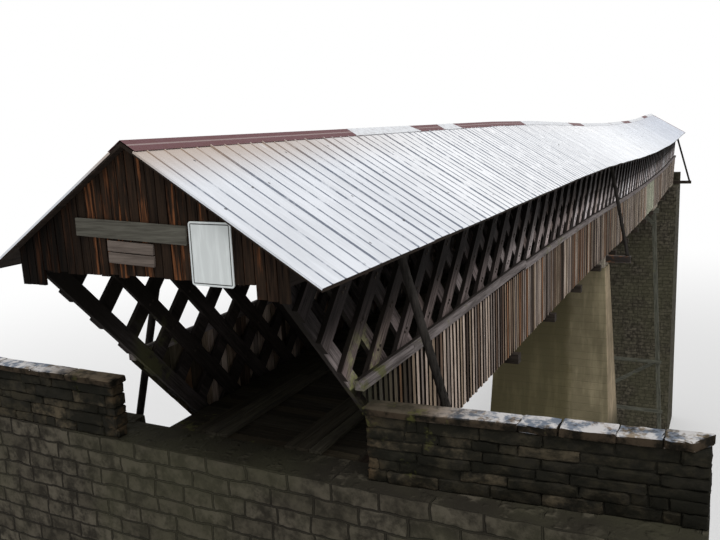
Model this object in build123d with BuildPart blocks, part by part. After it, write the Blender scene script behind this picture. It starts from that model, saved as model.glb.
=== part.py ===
from build123d import *
from math import atan2, degrees
import os

# Covered timber bridge on a tall concrete pier, a scale model at 1:2.
# Every size here is half the real bridge's, in millimetres.
# X runs along the bridge from the near portal to the far one, Y across it and Z up.
# The origin is on the ground, under the middle of the bridge.
# Stations are distances along the bridge from the near edge of the roof.
# Heights called levels are measured from the eave line, which sags with the far span.

# Overall form
ROOF_LENGTH = 30000.0
DECK_HEIGHT = 10500.0
DECK_TO_EAVE = 1545.0
EAVE_HEIGHT = DECK_HEIGHT + DECK_TO_EAVE

# Sag: the far span has settled, while both ends and the near span keep their line
SAG_DEPTH = 190.0
SAG_STARTS = 7500.0
SAG_FULL = 18000.0
RISE_STARTS = 22500.0
RISE_ENDS = 30500.0
BENDS = (0.0, 7500.0, 9800.0, 12000.0, 14500.0, 18000.0, 22500.0, 25000.0, 27500.0, 29000.0)
STATIONS = [bend for bend in BENDS if bend < ROOF_LENGTH] + [ROOF_LENGTH]

# Roof
ROOF_HALF_WIDTH = 1319.0
ROOF_RISE = 806.0
ROOF_THICKNESS = 25.0
ROOF_SLOPE = ROOF_RISE / ROOF_HALF_WIDTH
CAP_HALF_WIDTH = 110.0
CAP_THICKNESS = 10.0
RUSTED_CAP_END = 2850.0
RAFTER_WIDTH = 45.0
RAFTER_DEPTH = 70.0
RAFTER_TAIL = 1260.0
FRAME_SPACING = 2600.0
FIRST_FRAME = 650.0
TIE_WIDTH = 100.0

# Trusses: two crossed layers of planks, with chord planks on both faces
PLANK_THICKNESS = 38.0
PLANK_WIDTH = 127.0
LATTICE_SPACING = 488.5
LATTICE_RUN = 0.913
LATTICE_MIDDLE = 954.0
INNER_FACE = LATTICE_MIDDLE - 2 * PLANK_THICKNESS
OUTER_FACE = LATTICE_MIDDLE + 2 * PLANK_THICKNESS
TOP_CHORD_LEVELS = (-40.0, 95.0)
LOWER_CHORD_LEVELS = (-1815.0, -1680.0)
PLANK_HOLD = 60.0
END_PLANK_INSET = 3.0
RAKE_TOP_LEVEL = -16.0
RAKE_TOP_STATION = 75.0
PIER_STATION = 11650.0

# Side rail and boarding
RAIL_LEVELS = (-935.0, -858.0)
RAIL_THICKNESS = 72.0
BOARD_THICKNESS = 14.0

# Floor
DECK_THICKNESS = 45.0
DECK_START = 1080.0
DECK_HALF_WIDTH = INNER_FACE - 12.0
RUNNER_WIDTH = 330.0
RUNNER_CENTRE = 430.0
RUNNER_THICKNESS = 25.0
STRINGER_WIDTH = 60.0
STRINGER_PLACES = (-780.0, -390.0, 0.0, 390.0, 780.0)
FLOOR_BEAM_DEPTH = 110.0
FLOOR_BEAM_WIDTH = 120.0
FLOOR_BEAM_REACH = 1120.0
FLOOR_BEAM_SPACING = 1900.0
FIRST_FLOOR_BEAM = 2830.0
SEAT_LEVEL = LOWER_CHORD_LEVELS[0] - FLOOR_BEAM_DEPTH

# Sway braces: round poles from under the eave to beams that reach out past the sides
OUTRIGGER_REACH = 1690.0
OUTRIGGER_STATION = 1480.0
PIER_BEAM_REACH = 1490.0
POLE_DIAMETER = 70.0
END_POLE_FOOT_OUT = 1620.0
PIER_POLE_FOOT_OUT = 1430.0
POLE_SIDES = 8

# Pier
PIER_LENGTH = 500.0
PIER_HALF_WIDTH = 1055.0
PIER_END_BATTER = 0.05
PIER_FACE_BATTER = 0.1
PIER_PAD_HEIGHT = 80.0
PIER_BEAM_DEPTH = 130.0
PIER_BEAM_WIDTH = 110.0
PIER_BEAM_FLANGE = 12.0
PIER_BEAM_WEB = 10.0
PIER_BLOCK_GAP = 20.0

# Timber bent under the sagging span
BENT_STATION = 21500.0
BENT_CAP_DEPTH = 140.0
BENT_CAP_REACH = 1130.0
BOLSTER_HALF_LENGTH = 600.0
POST_WIDTH = 120.0
POST_TOP_OUT = 990.0
POST_BATTER = 0.05
BENT_GIRT_HEIGHTS = (1500.0, 3200.0, 4900.0)
KNEE_REACH = 350.0
BENT_BRACE_THICKNESS = 40.0
BENT_BRACE_WIDTH = 110.0

# Abutments, with parapets on the wing walls of the near one
# The right parapet stands back from the wing wall's face and turns away from the road
ABUTMENT_STATION = 725.0
PARAPET_THICKNESS = 150.0
RIGHT_PARAPET_HEIGHT = 480.0
RIGHT_PARAPET_SETBACK = 110.0
RIGHT_PARAPET_SPLAY = 170.0
LEFT_PARAPET_HEIGHT = 440.0
PARAPET_INNER_END = 1095.0
PARAPET_OUTER_END = 3200.0
PARAPET_CAP_THICKNESS = 60.0
CAP_OVERHANG = 12.0
SEAT_END = 2700.0
SEAT_HALF_WIDTH = 1250.0
WING_THICKNESS = 480.0
ABUTMENT_BATTER = 0.07

# Gables and what hangs on the near one
GABLE_FRONT = 55.0
GABLE_THICKNESS = 20.0
GABLE_HALF_WIDTH = 1078.0
GABLE_BOTTOM_LEVEL = -28.0
GABLE_DROP_LEVEL = -120.0
GABLE_DROP_WIDTH = 200.0
SIGN_WIDTH = 305.0
SIGN_HEIGHT = 381.0
SIGN_CORNER = 19.0
SIGN_CENTRE = (561.0, 144.0)
SIGN_THICKNESS = 6.0
SIGN_TILT = -0.8
NAME_BOARD_SIZE = (890.0, 115.0)
NAME_BOARD_CENTRE = (-50.0, 270.0)
BOARD_TILT = -2.5
SMALL_BOARD_SIZE = (370.0, 68.0)
SMALL_BOARD_CENTRES = ((-52.0, 166.0), (-52.0, 92.0))
SIGN_BOARD_THICKNESS = 18.0


def smooth(t):
    """A ramp from 0 to 1 that starts and ends level."""
    t = min(max(t, 0.0), 1.0)
    return t * t * (3.0 - 2.0 * t)


def sag_at_station(station):
    settled = smooth((station - SAG_STARTS) / (SAG_FULL - SAG_STARTS))
    recovered = smooth((station - RISE_STARTS) / (RISE_ENDS - RISE_STARTS))
    return SAG_DEPTH * settled * (1.0 - recovered)


def sag(station):
    """Drop of the bridge's line, straight between the stations."""
    for first, second in zip(STATIONS, STATIONS[1:]):
        if station <= second:
            share = max(station - first, 0.0) / (second - first)
            start, end = sag_at_station(first), sag_at_station(second)
            return start + (end - start) * share
    return sag_at_station(STATIONS[-1])


def along(station):
    """X of a station."""
    return station - ROOF_LENGTH / 2.0


def height(station, level):
    """Z of a level at a station."""
    return EAVE_HEIGHT + level - sag(station)


def point(station, level):
    return (along(station), height(station, level))


def rake(level):
    """How far the raked end of the trusses stands in from the roof's edge."""
    if level > RAKE_TOP_LEVEL:
        return RAKE_TOP_STATION
    return RAKE_TOP_STATION + (RAKE_TOP_LEVEL - level) * LATTICE_RUN


def long_outline(starts, ends, low, high):
    """Side view of a long piece that follows the sag, from low to high level."""
    low_start, high_start = starts
    low_end, high_end = ends
    low_points = [s for s in STATIONS if low_start < s < low_end]
    high_points = [s for s in STATIONS if high_start < s < high_end]
    outline = [point(s, low) for s in [low_start] + low_points + [low_end]]
    outline += [point(s, high) for s in reversed([high_start] + high_points + [high_end])]
    return outline


def long_face(out, starts, ends, low, high):
    """Side view of a long piece, drawn at a distance out to the right of the middle."""
    with BuildSketch(Plane.XZ.offset(out)) as face:
        with BuildLine():
            Polyline(*long_outline(starts, ends, low, high), close=True)
        make_face()
    return face.sketch


def raked_ends(low, high):
    starts = (rake(low), rake(high))
    ends = (ROOF_LENGTH - rake(low), ROOF_LENGTH - rake(high))
    return starts, ends


# Trusses
PLANK_LEVELS = (LOWER_CHORD_LEVELS[1] - PLANK_HOLD, TOP_CHORD_LEVELS[0] + PLANK_HOLD)
PLANK_RUN = (PLANK_LEVELS[1] - PLANK_LEVELS[0]) * LATTICE_RUN
PLANK_FOOT_WIDTH = PLANK_WIDTH * (1.0 + LATTICE_RUN ** 2) ** 0.5


def plank_outline(foot, lean):
    """One lattice plank, from inside the lower chord to inside the top chord."""
    low, high = PLANK_LEVELS
    half = PLANK_FOOT_WIDTH / 2.0
    head = foot + PLANK_RUN * lean
    return [point(foot - half, low), point(foot + half, low), point(head + half, high), point(head - half, high)]


def truss_outline():
    """The trusses' side view, which trims the planks at the raked ends."""
    low, corner, high = LOWER_CHORD_LEVELS[0], RAKE_TOP_LEVEL, TOP_CHORD_LEVELS[1]
    near = [point(rake(level), level) for level in (low, corner)]
    far = [point(ROOF_LENGTH - rake(level), level) for level in (corner, low)]
    top = [point(RAKE_TOP_STATION, high), point(ROOF_LENGTH - RAKE_TOP_STATION, high)]
    underside = height(ROOF_LENGTH / 2.0, low) - SAG_DEPTH
    return near + top + far + [(far[1][0], underside), (near[0][0], underside)]


def plank_middles(lean):
    """Stations of a layer's planks at half height, from the one that lies along a raked end."""
    end_plank = rake(sum(PLANK_LEVELS) / 2) + PLANK_FOOT_WIDTH / 2 + END_PLANK_INSET
    count = int((ROOF_LENGTH + PLANK_RUN / 2) / LATTICE_SPACING)
    middles = [end_plank + LATTICE_SPACING * i for i in range(count)]
    return middles if lean < 0 else [ROOF_LENGTH - middle for middle in middles]


def lattice_layer(out, lean, first, last):
    """The planks of one layer whose middles lie between two stations."""
    with BuildSketch(Plane.XZ.offset(out)) as layer:
        for middle in plank_middles(lean):
            if first <= middle < last:
                with BuildLine():
                    Polyline(*plank_outline(middle - PLANK_RUN * lean / 2.0, lean), close=True)
                make_face()
        with BuildLine():
            Polyline(*truss_outline(), close=True)
        make_face(mode=Mode.INTERSECT)
    return layer.sketch


# The outer layer rises towards the far end and the inner layer towards the near end
with BuildPart() as near_right_lattice:
    near_limit = -PLANK_RUN
    extrude(lattice_layer(LATTICE_MIDDLE, 1.0, near_limit, PIER_STATION), amount=PLANK_THICKNESS)
    extrude(lattice_layer(LATTICE_MIDDLE, -1.0, near_limit, PIER_STATION), amount=-PLANK_THICKNESS)

with BuildPart() as far_right_lattice:
    far_limit = ROOF_LENGTH + PLANK_RUN
    extrude(lattice_layer(LATTICE_MIDDLE, 1.0, PIER_STATION, far_limit), amount=PLANK_THICKNESS)
    extrude(lattice_layer(LATTICE_MIDDLE, -1.0, PIER_STATION, far_limit), amount=-PLANK_THICKNESS)

with BuildPart() as near_left_lattice:
    mirror(near_right_lattice.part, about=Plane.XZ)

with BuildPart() as far_left_lattice:
    mirror(far_right_lattice.part, about=Plane.XZ)


def chord_face(out, levels):
    return long_face(out, *raked_ends(*levels), *levels)


# Each chord has an inner and an outer plank
with BuildPart() as right_top_chord:
    for out in (INNER_FACE, OUTER_FACE - PLANK_THICKNESS):
        extrude(chord_face(out, TOP_CHORD_LEVELS), amount=PLANK_THICKNESS)

with BuildPart() as left_top_chord:
    mirror(right_top_chord.part, about=Plane.XZ)

with BuildPart() as right_lower_chord:
    for out in (INNER_FACE, OUTER_FACE - PLANK_THICKNESS):
        extrude(chord_face(out, LOWER_CHORD_LEVELS), amount=PLANK_THICKNESS)

with BuildPart() as left_lower_chord:
    mirror(right_lower_chord.part, about=Plane.XZ)

# Side rail, with the boarding under it
with BuildPart() as right_rail:
    extrude(chord_face(OUTER_FACE - PLANK_THICKNESS, RAIL_LEVELS), amount=RAIL_THICKNESS)

with BuildPart() as left_rail:
    mirror(right_rail.part, about=Plane.XZ)

with BuildPart() as right_boarding:
    board_levels = (LOWER_CHORD_LEVELS[0], RAIL_LEVELS[0])
    extrude(chord_face(OUTER_FACE, board_levels), amount=BOARD_THICKNESS)

with BuildPart() as left_boarding:
    mirror(right_boarding.part, about=Plane.XZ)

# Floor
FLOOR_ENDS = ((DECK_START, DECK_START), (ROOF_LENGTH - DECK_START, ROOF_LENGTH - DECK_START))
DECK_LEVELS = (-DECK_TO_EAVE - DECK_THICKNESS, -DECK_TO_EAVE)

with BuildPart() as deck:
    extrude(long_face(-DECK_HALF_WIDTH, *FLOOR_ENDS, *DECK_LEVELS), amount=2 * DECK_HALF_WIDTH)

with BuildPart() as running_planks:
    for centre in (-RUNNER_CENTRE, RUNNER_CENTRE):
        levels = (DECK_LEVELS[1], DECK_LEVELS[1] + RUNNER_THICKNESS)
        extrude(long_face(centre - RUNNER_WIDTH / 2, *FLOOR_ENDS, *levels), amount=RUNNER_WIDTH)

with BuildPart() as stringers:
    for centre in STRINGER_PLACES:
        levels = (LOWER_CHORD_LEVELS[0], DECK_LEVELS[0])
        extrude(long_face(centre - STRINGER_WIDTH / 2, *FLOOR_ENDS, *levels), amount=STRINGER_WIDTH)


def cross_face(station, width, levels, reach):
    """End of a timber that runs across the bridge, drawn on the plane of its left end."""
    start, end = station - width / 2, station + width / 2
    return long_face(-reach, (start, start), (end, end), *levels)


def floor_beam_stations():
    """Floor beams between the abutments, clear of the pier and the bent."""
    at_pier = PIER_LENGTH / 2 + FLOOR_BEAM_WIDTH
    at_bent = BOLSTER_HALF_LENGTH + FLOOR_BEAM_WIDTH
    count = int((ROOF_LENGTH - 2 * FIRST_FLOOR_BEAM) / FLOOR_BEAM_SPACING) + 1
    stations = [FIRST_FLOOR_BEAM + FLOOR_BEAM_SPACING * i for i in range(count)]
    stations = [s for s in stations if abs(s - PIER_STATION) > at_pier]
    return [s for s in stations if abs(s - BENT_STATION) > at_bent]


BEAM_LEVELS = (SEAT_LEVEL, LOWER_CHORD_LEVELS[0])


with BuildPart() as floor_beams:
    for station in floor_beam_stations():
        face = cross_face(station, FLOOR_BEAM_WIDTH, BEAM_LEVELS, FLOOR_BEAM_REACH)
        extrude(face, amount=2 * FLOOR_BEAM_REACH)


def bed_face(out, start, end, seat):
    """Side view of a bed timber: flat on its seat, and cut to the chord's line on top."""
    top = [point(s, LOWER_CHORD_LEVELS[0]) for s in [start] + [s for s in STATIONS if start < s < end] + [end]]
    with BuildSketch(Plane.XZ.offset(out)) as face:
        with BuildLine():
            Polyline((along(end), seat), (along(start), seat), *top, close=True)
        make_face()
    return face.sketch


TRUSS_SIDES = (-OUTER_FACE, INNER_FACE)
TRUSS_THICKNESS = OUTER_FACE - INNER_FACE
BED_START = OUTRIGGER_STATION + FLOOR_BEAM_WIDTH / 2
NEAR_SEAT = height(SEAT_END, SEAT_LEVEL)
FAR_SEAT = height(ROOF_LENGTH - SEAT_END, SEAT_LEVEL)
PIER_SEAT = height(PIER_STATION + PIER_LENGTH / 2, LOWER_CHORD_LEVELS[0])
BENT_SEAT = height(BENT_STATION, SEAT_LEVEL)

with BuildPart() as abutment_bed_timbers:
    for out in TRUSS_SIDES:
        extrude(bed_face(out, BED_START, SEAT_END, NEAR_SEAT), amount=TRUSS_THICKNESS)
        far_start, far_end = ROOF_LENGTH - SEAT_END, ROOF_LENGTH - BED_START
        extrude(bed_face(out, far_start, far_end, FAR_SEAT), amount=TRUSS_THICKNESS)

PIER_TOP = PIER_SEAT - PIER_BEAM_DEPTH - PIER_PAD_HEIGHT

# Blocks on both sides of the steel beam, and pads under it
with BuildPart() as pier_blocks:
    for out in TRUSS_SIDES:
        inner, outer = PIER_BEAM_WIDTH / 2 + PIER_BLOCK_GAP, PIER_LENGTH / 2
        for start, end in ((-outer, -inner), (inner, outer)):
            face = bed_face(out, PIER_STATION + start, PIER_STATION + end, PIER_TOP)
            extrude(face, amount=TRUSS_THICKNESS)
        with BuildSketch(Plane.XZ.offset(out)):
            with Locations((along(PIER_STATION), PIER_TOP + PIER_PAD_HEIGHT / 2)):
                Rectangle(PIER_BEAM_WIDTH, PIER_PAD_HEIGHT)
        extrude(amount=TRUSS_THICKNESS)

with BuildPart() as bent_bolsters:
    for out in TRUSS_SIDES:
        start, end = BENT_STATION - BOLSTER_HALF_LENGTH, BENT_STATION + BOLSTER_HALF_LENGTH
        extrude(bed_face(out, start, end, BENT_SEAT), amount=TRUSS_THICKNESS)

# Roof frames: tie beams between the trusses, and pairs of rafters over them
FRAME_BAYS = round((ROOF_LENGTH - 2 * FIRST_FRAME) / FRAME_SPACING)
FRAME_STEP = (ROOF_LENGTH - 2 * FIRST_FRAME) / FRAME_BAYS
FRAME_STATIONS = [FIRST_FRAME + FRAME_STEP * i for i in range(FRAME_BAYS + 1)]

with BuildPart() as tie_beams:
    for station in FRAME_STATIONS:
        extrude(cross_face(station, TIE_WIDTH, TOP_CHORD_LEVELS, INNER_FACE), amount=2 * INNER_FACE)


def roof_level(out):
    """Level of the roof's top surface at a distance out from the middle."""
    return ROOF_RISE - out * ROOF_SLOPE


def rafter_section(station):
    """Both rafters of a frame at a station, met at the ridge and notched over the top chords."""
    top, under = -ROOF_THICKNESS, -ROOF_THICKNESS - RAFTER_DEPTH
    chord_top = TOP_CHORD_LEVELS[1]
    notch_out = (roof_level(0.0) + under - chord_top) / ROOF_SLOPE
    outline = [
        (0.0, roof_level(0.0) + top),
        (-RAFTER_TAIL, roof_level(RAFTER_TAIL) + top),
        (-RAFTER_TAIL, roof_level(RAFTER_TAIL) + under),
        (-OUTER_FACE, roof_level(OUTER_FACE) + under),
        (-OUTER_FACE, chord_top),
        (-notch_out, chord_top),
        (0.0, roof_level(0.0) + under),
    ]
    with BuildSketch(Plane.YZ.offset(along(station))) as section:
        with BuildLine():
            Polyline(*[(y, height(station, level)) for y, level in outline], close=True)
        make_face()
        mirror(about=Plane.YZ)
    return section.sketch


def sag_slope(start, width):
    """Direction of the bridge's line over a short width, with its length along X as 1."""
    return Vector(1.0, 0.0, (sag(start) - sag(start + width)) / width)


with BuildPart() as rafters:
    for station in FRAME_STATIONS:
        line = sag_slope(station - RAFTER_WIDTH / 2, RAFTER_WIDTH)
        extrude(rafter_section(station - RAFTER_WIDTH / 2), amount=RAFTER_WIDTH * line.length, dir=line)

# Roof: one slab for each slope, and the folded cap along the ridge
SLOPE_STRETCH = (1.0 + ROOF_SLOPE ** 2) ** 0.5
ROOF_ENDS = ((0.0, 0.0), (ROOF_LENGTH, ROOF_LENGTH))
ROOF_LEVELS = (ROOF_RISE - ROOF_THICKNESS, ROOF_RISE)
CAP_LEVELS = (ROOF_RISE, ROOF_RISE + CAP_THICKNESS)

with BuildPart() as right_roof:
    down_right = Vector(0.0, -1.0, -ROOF_SLOPE)
    extrude(long_face(0.0, *ROOF_ENDS, *ROOF_LEVELS), amount=ROOF_HALF_WIDTH * SLOPE_STRETCH, dir=down_right)

with BuildPart() as left_roof:
    mirror(right_roof.part, about=Plane.XZ)


def cap_ends(start, end):
    return (start, start), (end, end)


with BuildPart() as rusted_ridge_cap:
    face = long_face(0.0, *cap_ends(0.0, RUSTED_CAP_END), *CAP_LEVELS)
    extrude(face, amount=CAP_HALF_WIDTH * SLOPE_STRETCH, dir=down_right)
    mirror(about=Plane.XZ)

with BuildPart() as bright_ridge_cap:
    face = long_face(0.0, *cap_ends(RUSTED_CAP_END, ROOF_LENGTH), *CAP_LEVELS)
    extrude(face, amount=CAP_HALF_WIDTH * SLOPE_STRETCH, dir=down_right)
    mirror(about=Plane.XZ)


def gable_section(station):
    """Gable boarding, with a drop at each side that covers the truss's end."""
    inner = GABLE_HALF_WIDTH - GABLE_DROP_WIDTH
    outline = [
        (0.0, roof_level(0.0) - ROOF_THICKNESS),
        (-GABLE_HALF_WIDTH, roof_level(GABLE_HALF_WIDTH) - ROOF_THICKNESS),
        (-GABLE_HALF_WIDTH, GABLE_DROP_LEVEL),
        (-inner, GABLE_DROP_LEVEL),
        (-inner, GABLE_BOTTOM_LEVEL),
        (0.0, GABLE_BOTTOM_LEVEL),
    ]
    with BuildSketch(Plane.YZ.offset(along(station))) as section:
        with BuildLine():
            Polyline(*[(y, height(station, level)) for y, level in outline], close=True)
        make_face()
        mirror(about=Plane.YZ)
    return section.sketch


with BuildPart() as near_gable:
    extrude(gable_section(GABLE_FRONT), amount=GABLE_THICKNESS)

with BuildPart() as far_gable:
    extrude(gable_section(ROOF_LENGTH - GABLE_FRONT - GABLE_THICKNESS), amount=GABLE_THICKNESS)

# Boards and the plain sign on the near gable. Their centres are (to the right, above the eave line)
GABLE_FACE = Plane(origin=(along(GABLE_FRONT), 0, EAVE_HEIGHT), x_dir=(0, -1, 0), z_dir=(-1, 0, 0))

with BuildPart() as name_board:
    with BuildSketch(GABLE_FACE):
        with Locations(NAME_BOARD_CENTRE):
            Rectangle(*NAME_BOARD_SIZE, rotation=BOARD_TILT)
    extrude(amount=SIGN_BOARD_THICKNESS)

with BuildPart() as small_boards:
    with BuildSketch(GABLE_FACE):
        with Locations(*SMALL_BOARD_CENTRES):
            Rectangle(*SMALL_BOARD_SIZE, rotation=BOARD_TILT)
    extrude(amount=SIGN_BOARD_THICKNESS)

with BuildPart() as plain_sign:
    with BuildSketch(GABLE_FACE):
        with Locations(SIGN_CENTRE):
            RectangleRounded(SIGN_WIDTH, SIGN_HEIGHT, SIGN_CORNER, rotation=SIGN_TILT)
    extrude(amount=SIGN_THICKNESS)

# Sway braces and the beams they stand on
with BuildPart() as end_outriggers:
    for station in (OUTRIGGER_STATION, ROOF_LENGTH - OUTRIGGER_STATION):
        face = cross_face(station, FLOOR_BEAM_WIDTH, BEAM_LEVELS, OUTRIGGER_REACH)
        extrude(face, amount=2 * OUTRIGGER_REACH)

PIER_BEAM_MIDDLE = PIER_SEAT - PIER_BEAM_DEPTH / 2
FLANGE_PLACE = (PIER_BEAM_DEPTH - PIER_BEAM_FLANGE) / 2

with BuildPart() as pier_beam:
    with BuildSketch(Plane.XZ.offset(-PIER_BEAM_REACH)):
        with Locations((along(PIER_STATION), PIER_BEAM_MIDDLE)):
            Rectangle(PIER_BEAM_WEB, PIER_BEAM_DEPTH)
            with Locations((0, -FLANGE_PLACE), (0, FLANGE_PLACE)):
                Rectangle(PIER_BEAM_WIDTH, PIER_BEAM_FLANGE)
    extrude(amount=2 * PIER_BEAM_REACH)


def pole(station, foot_out, foot_height, slope):
    """Foot of a pole that leans in to the top chord, and the line up to its top."""
    chord_top = TOP_CHORD_LEVELS[1]
    foot = Vector(along(station), -foot_out, foot_height)
    top = Vector(along(station), -OUTER_FACE - POLE_DIAMETER / 2, height(station, chord_top))
    with BuildSketch(Plane(origin=foot, x_dir=slope, z_dir=slope.cross(Vector(0, 1, 0)))) as section:
        RegularPolygon(POLE_DIAMETER / 2, POLE_SIDES)
    return section.sketch, top - foot


with BuildPart() as brace_poles:
    for station in (OUTRIGGER_STATION, ROOF_LENGTH - OUTRIGGER_STATION):
        beam_top = height(station, LOWER_CHORD_LEVELS[0])
        section, line = pole(station, END_POLE_FOOT_OUT, beam_top, sag_slope(station, 1.0))
        extrude(section, amount=line.length, dir=line)
    section, line = pole(PIER_STATION, PIER_POLE_FOOT_OUT, PIER_SEAT, Vector(1, 0, 0))
    extrude(section, amount=line.length, dir=line)
    mirror(about=Plane.XZ)

# Pier: a tall wall that widens downwards
with BuildPart() as pier:
    spread = (2 * PIER_TOP * PIER_FACE_BATTER, 2 * PIER_TOP * PIER_END_BATTER)
    with BuildSketch(Plane.XY):
        with Locations((along(PIER_STATION), 0)):
            Rectangle(PIER_LENGTH + spread[0], 2 * PIER_HALF_WIDTH + spread[1])
    with BuildSketch(Plane.XY.offset(PIER_TOP)):
        with Locations((along(PIER_STATION), 0)):
            Rectangle(PIER_LENGTH, 2 * PIER_HALF_WIDTH)
    loft(ruled=True)

# Bent: two battered posts under a cap, with girts and crossed braces
POST_TOP = BENT_SEAT - BENT_CAP_DEPTH


def post_out(z):
    """Distance of a post's middle from the bridge's middle, at a height."""
    return POST_TOP_OUT + (POST_TOP - z) * POST_BATTER


with BuildPart() as bent_cap:
    with BuildSketch(Plane.XZ.offset(-BENT_CAP_REACH)):
        with Locations((along(BENT_STATION), BENT_SEAT - BENT_CAP_DEPTH / 2)):
            Rectangle(POST_WIDTH, BENT_CAP_DEPTH)
    extrude(amount=2 * BENT_CAP_REACH)

with BuildPart() as bent_posts:
    with BuildSketch(Plane.YZ.offset(along(BENT_STATION) - POST_WIDTH / 2)):
        with BuildLine():
            Polyline(
                (-post_out(POST_TOP) - POST_WIDTH / 2, POST_TOP),
                (-post_out(POST_TOP) + POST_WIDTH / 2, POST_TOP),
                (-post_out(0.0) + POST_WIDTH / 2, 0.0),
                (-post_out(0.0) - POST_WIDTH / 2, 0.0),
                close=True,
            )
        make_face()
        mirror(about=Plane.YZ)
    extrude(amount=POST_WIDTH)


def brace_section(start, end, face):
    """A flat timber against one face of the bent, from one point to another."""
    line = Vector(*end) - Vector(*start)
    middle = (Vector(*start) + Vector(*end)) * 0.5
    turn = degrees(atan2(line.Y, line.X))
    with BuildSketch(Plane.YZ.offset(face)) as section:
        with Locations((middle.X, middle.Y)):
            Rectangle(line.length, BENT_BRACE_WIDTH, rotation=turn)
    return section.sketch


with BuildPart() as bent_bracing:
    near_face = along(BENT_STATION) - POST_WIDTH / 2 - BENT_BRACE_THICKNESS
    far_face = along(BENT_STATION) + POST_WIDTH / 2
    for z in BENT_GIRT_HEIGHTS:
        reach = post_out(z) + POST_WIDTH
        extrude(brace_section((-reach, z), (reach, z), near_face), amount=BENT_BRACE_THICKNESS)
    side = 1.0
    for low, high in zip(BENT_GIRT_HEIGHTS, BENT_GIRT_HEIGHTS[1:]):
        start, end = (-side * post_out(low), low), (side * post_out(high), high)
        extrude(brace_section(start, end, far_face), amount=BENT_BRACE_THICKNESS)
        side = -side
    for side in (-1.0, 1.0):
        foot = (side * post_out(POST_TOP - KNEE_REACH), POST_TOP - KNEE_REACH)
        head = (side * (post_out(POST_TOP) - KNEE_REACH), POST_TOP)
        extrude(brace_section(foot, head, near_face), amount=BENT_BRACE_THICKNESS)


def abutment_section(line, toward, seat):
    """Section through the seat, between the wing walls."""
    seat_length = SEAT_END - ABUTMENT_STATION
    back_wall = DECK_START - ABUTMENT_STATION
    profile = [
        (0.0, 0.0),
        (0.0, DECK_HEIGHT),
        (back_wall, DECK_HEIGHT),
        (back_wall, seat),
        (seat_length, seat),
        (seat_length + seat * ABUTMENT_BATTER, 0.0),
    ]
    with BuildSketch(Plane.XZ.offset(-SEAT_HALF_WIDTH)) as section:
        with BuildLine():
            Polyline(*[(line + toward * x, z) for x, z in profile], close=True)
        make_face()
    return section.sketch


def wing_section(line, out):
    """Section through a wing wall, which widens downwards away from the road."""
    profile = [
        (0.0, 0.0),
        (0.0, DECK_HEIGHT),
        (WING_THICKNESS, DECK_HEIGHT),
        (WING_THICKNESS + DECK_HEIGHT * ABUTMENT_BATTER, 0.0),
    ]
    with BuildSketch(Plane.XZ.offset(out)) as section:
        with BuildLine():
            Polyline(*[(line + x, z) for x, z in profile], close=True)
        make_face()
    return section.sketch


# Abutments: a seat for the trusses, and at the near one a wing wall out to each side
WING_LENGTH = PARAPET_OUTER_END - SEAT_HALF_WIDTH
NEAR_LINE = along(ABUTMENT_STATION)
FAR_LINE = along(ROOF_LENGTH - ABUTMENT_STATION)

with BuildPart() as near_abutment:
    extrude(abutment_section(NEAR_LINE, 1.0, NEAR_SEAT), amount=2 * SEAT_HALF_WIDTH)
    for out in (-PARAPET_OUTER_END, SEAT_HALF_WIDTH):
        extrude(wing_section(NEAR_LINE, out), amount=WING_LENGTH)

with BuildPart() as far_abutment:
    extrude(abutment_section(FAR_LINE, -1.0, FAR_SEAT), amount=2 * SEAT_HALF_WIDTH)

# Parapets on the wing walls, with their caps
RIGHT_WALL_TOP = DECK_HEIGHT + RIGHT_PARAPET_HEIGHT
LEFT_WALL_TOP = DECK_HEIGHT + LEFT_PARAPET_HEIGHT


def parapet_plan(side, setback, splay, overhang, z):
    """Plan of a wall beside the road, or of its cap, which is wider all round."""
    inner, outer = side * PARAPET_INNER_END, side * PARAPET_OUTER_END
    inner_face = NEAR_LINE + setback
    outer_face = inner_face + splay
    with BuildSketch(Plane.XY.offset(z)) as plan:
        with BuildLine():
            Polyline(
                (inner_face, inner),
                (outer_face, outer),
                (outer_face + PARAPET_THICKNESS, outer),
                (inner_face + PARAPET_THICKNESS, inner),
                close=True,
            )
        make_face()
        if overhang > 0.0:
            offset(amount=overhang, kind=Kind.INTERSECTION)
    return plan.sketch


def right_plan(overhang, z):
    return parapet_plan(-1.0, RIGHT_PARAPET_SETBACK, RIGHT_PARAPET_SPLAY, overhang, z)


def left_plan(overhang, z):
    return parapet_plan(1.0, 0.0, 0.0, overhang, z)


with BuildPart() as right_parapet:
    extrude(right_plan(0.0, DECK_HEIGHT), amount=RIGHT_PARAPET_HEIGHT)

with BuildPart() as left_parapet:
    extrude(left_plan(0.0, DECK_HEIGHT), amount=LEFT_PARAPET_HEIGHT)

with BuildPart() as parapet_caps:
    extrude(right_plan(CAP_OVERHANG, RIGHT_WALL_TOP), amount=PARAPET_CAP_THICKNESS)
    extrude(left_plan(CAP_OVERHANG, LEFT_WALL_TOP), amount=PARAPET_CAP_THICKNESS)

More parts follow.
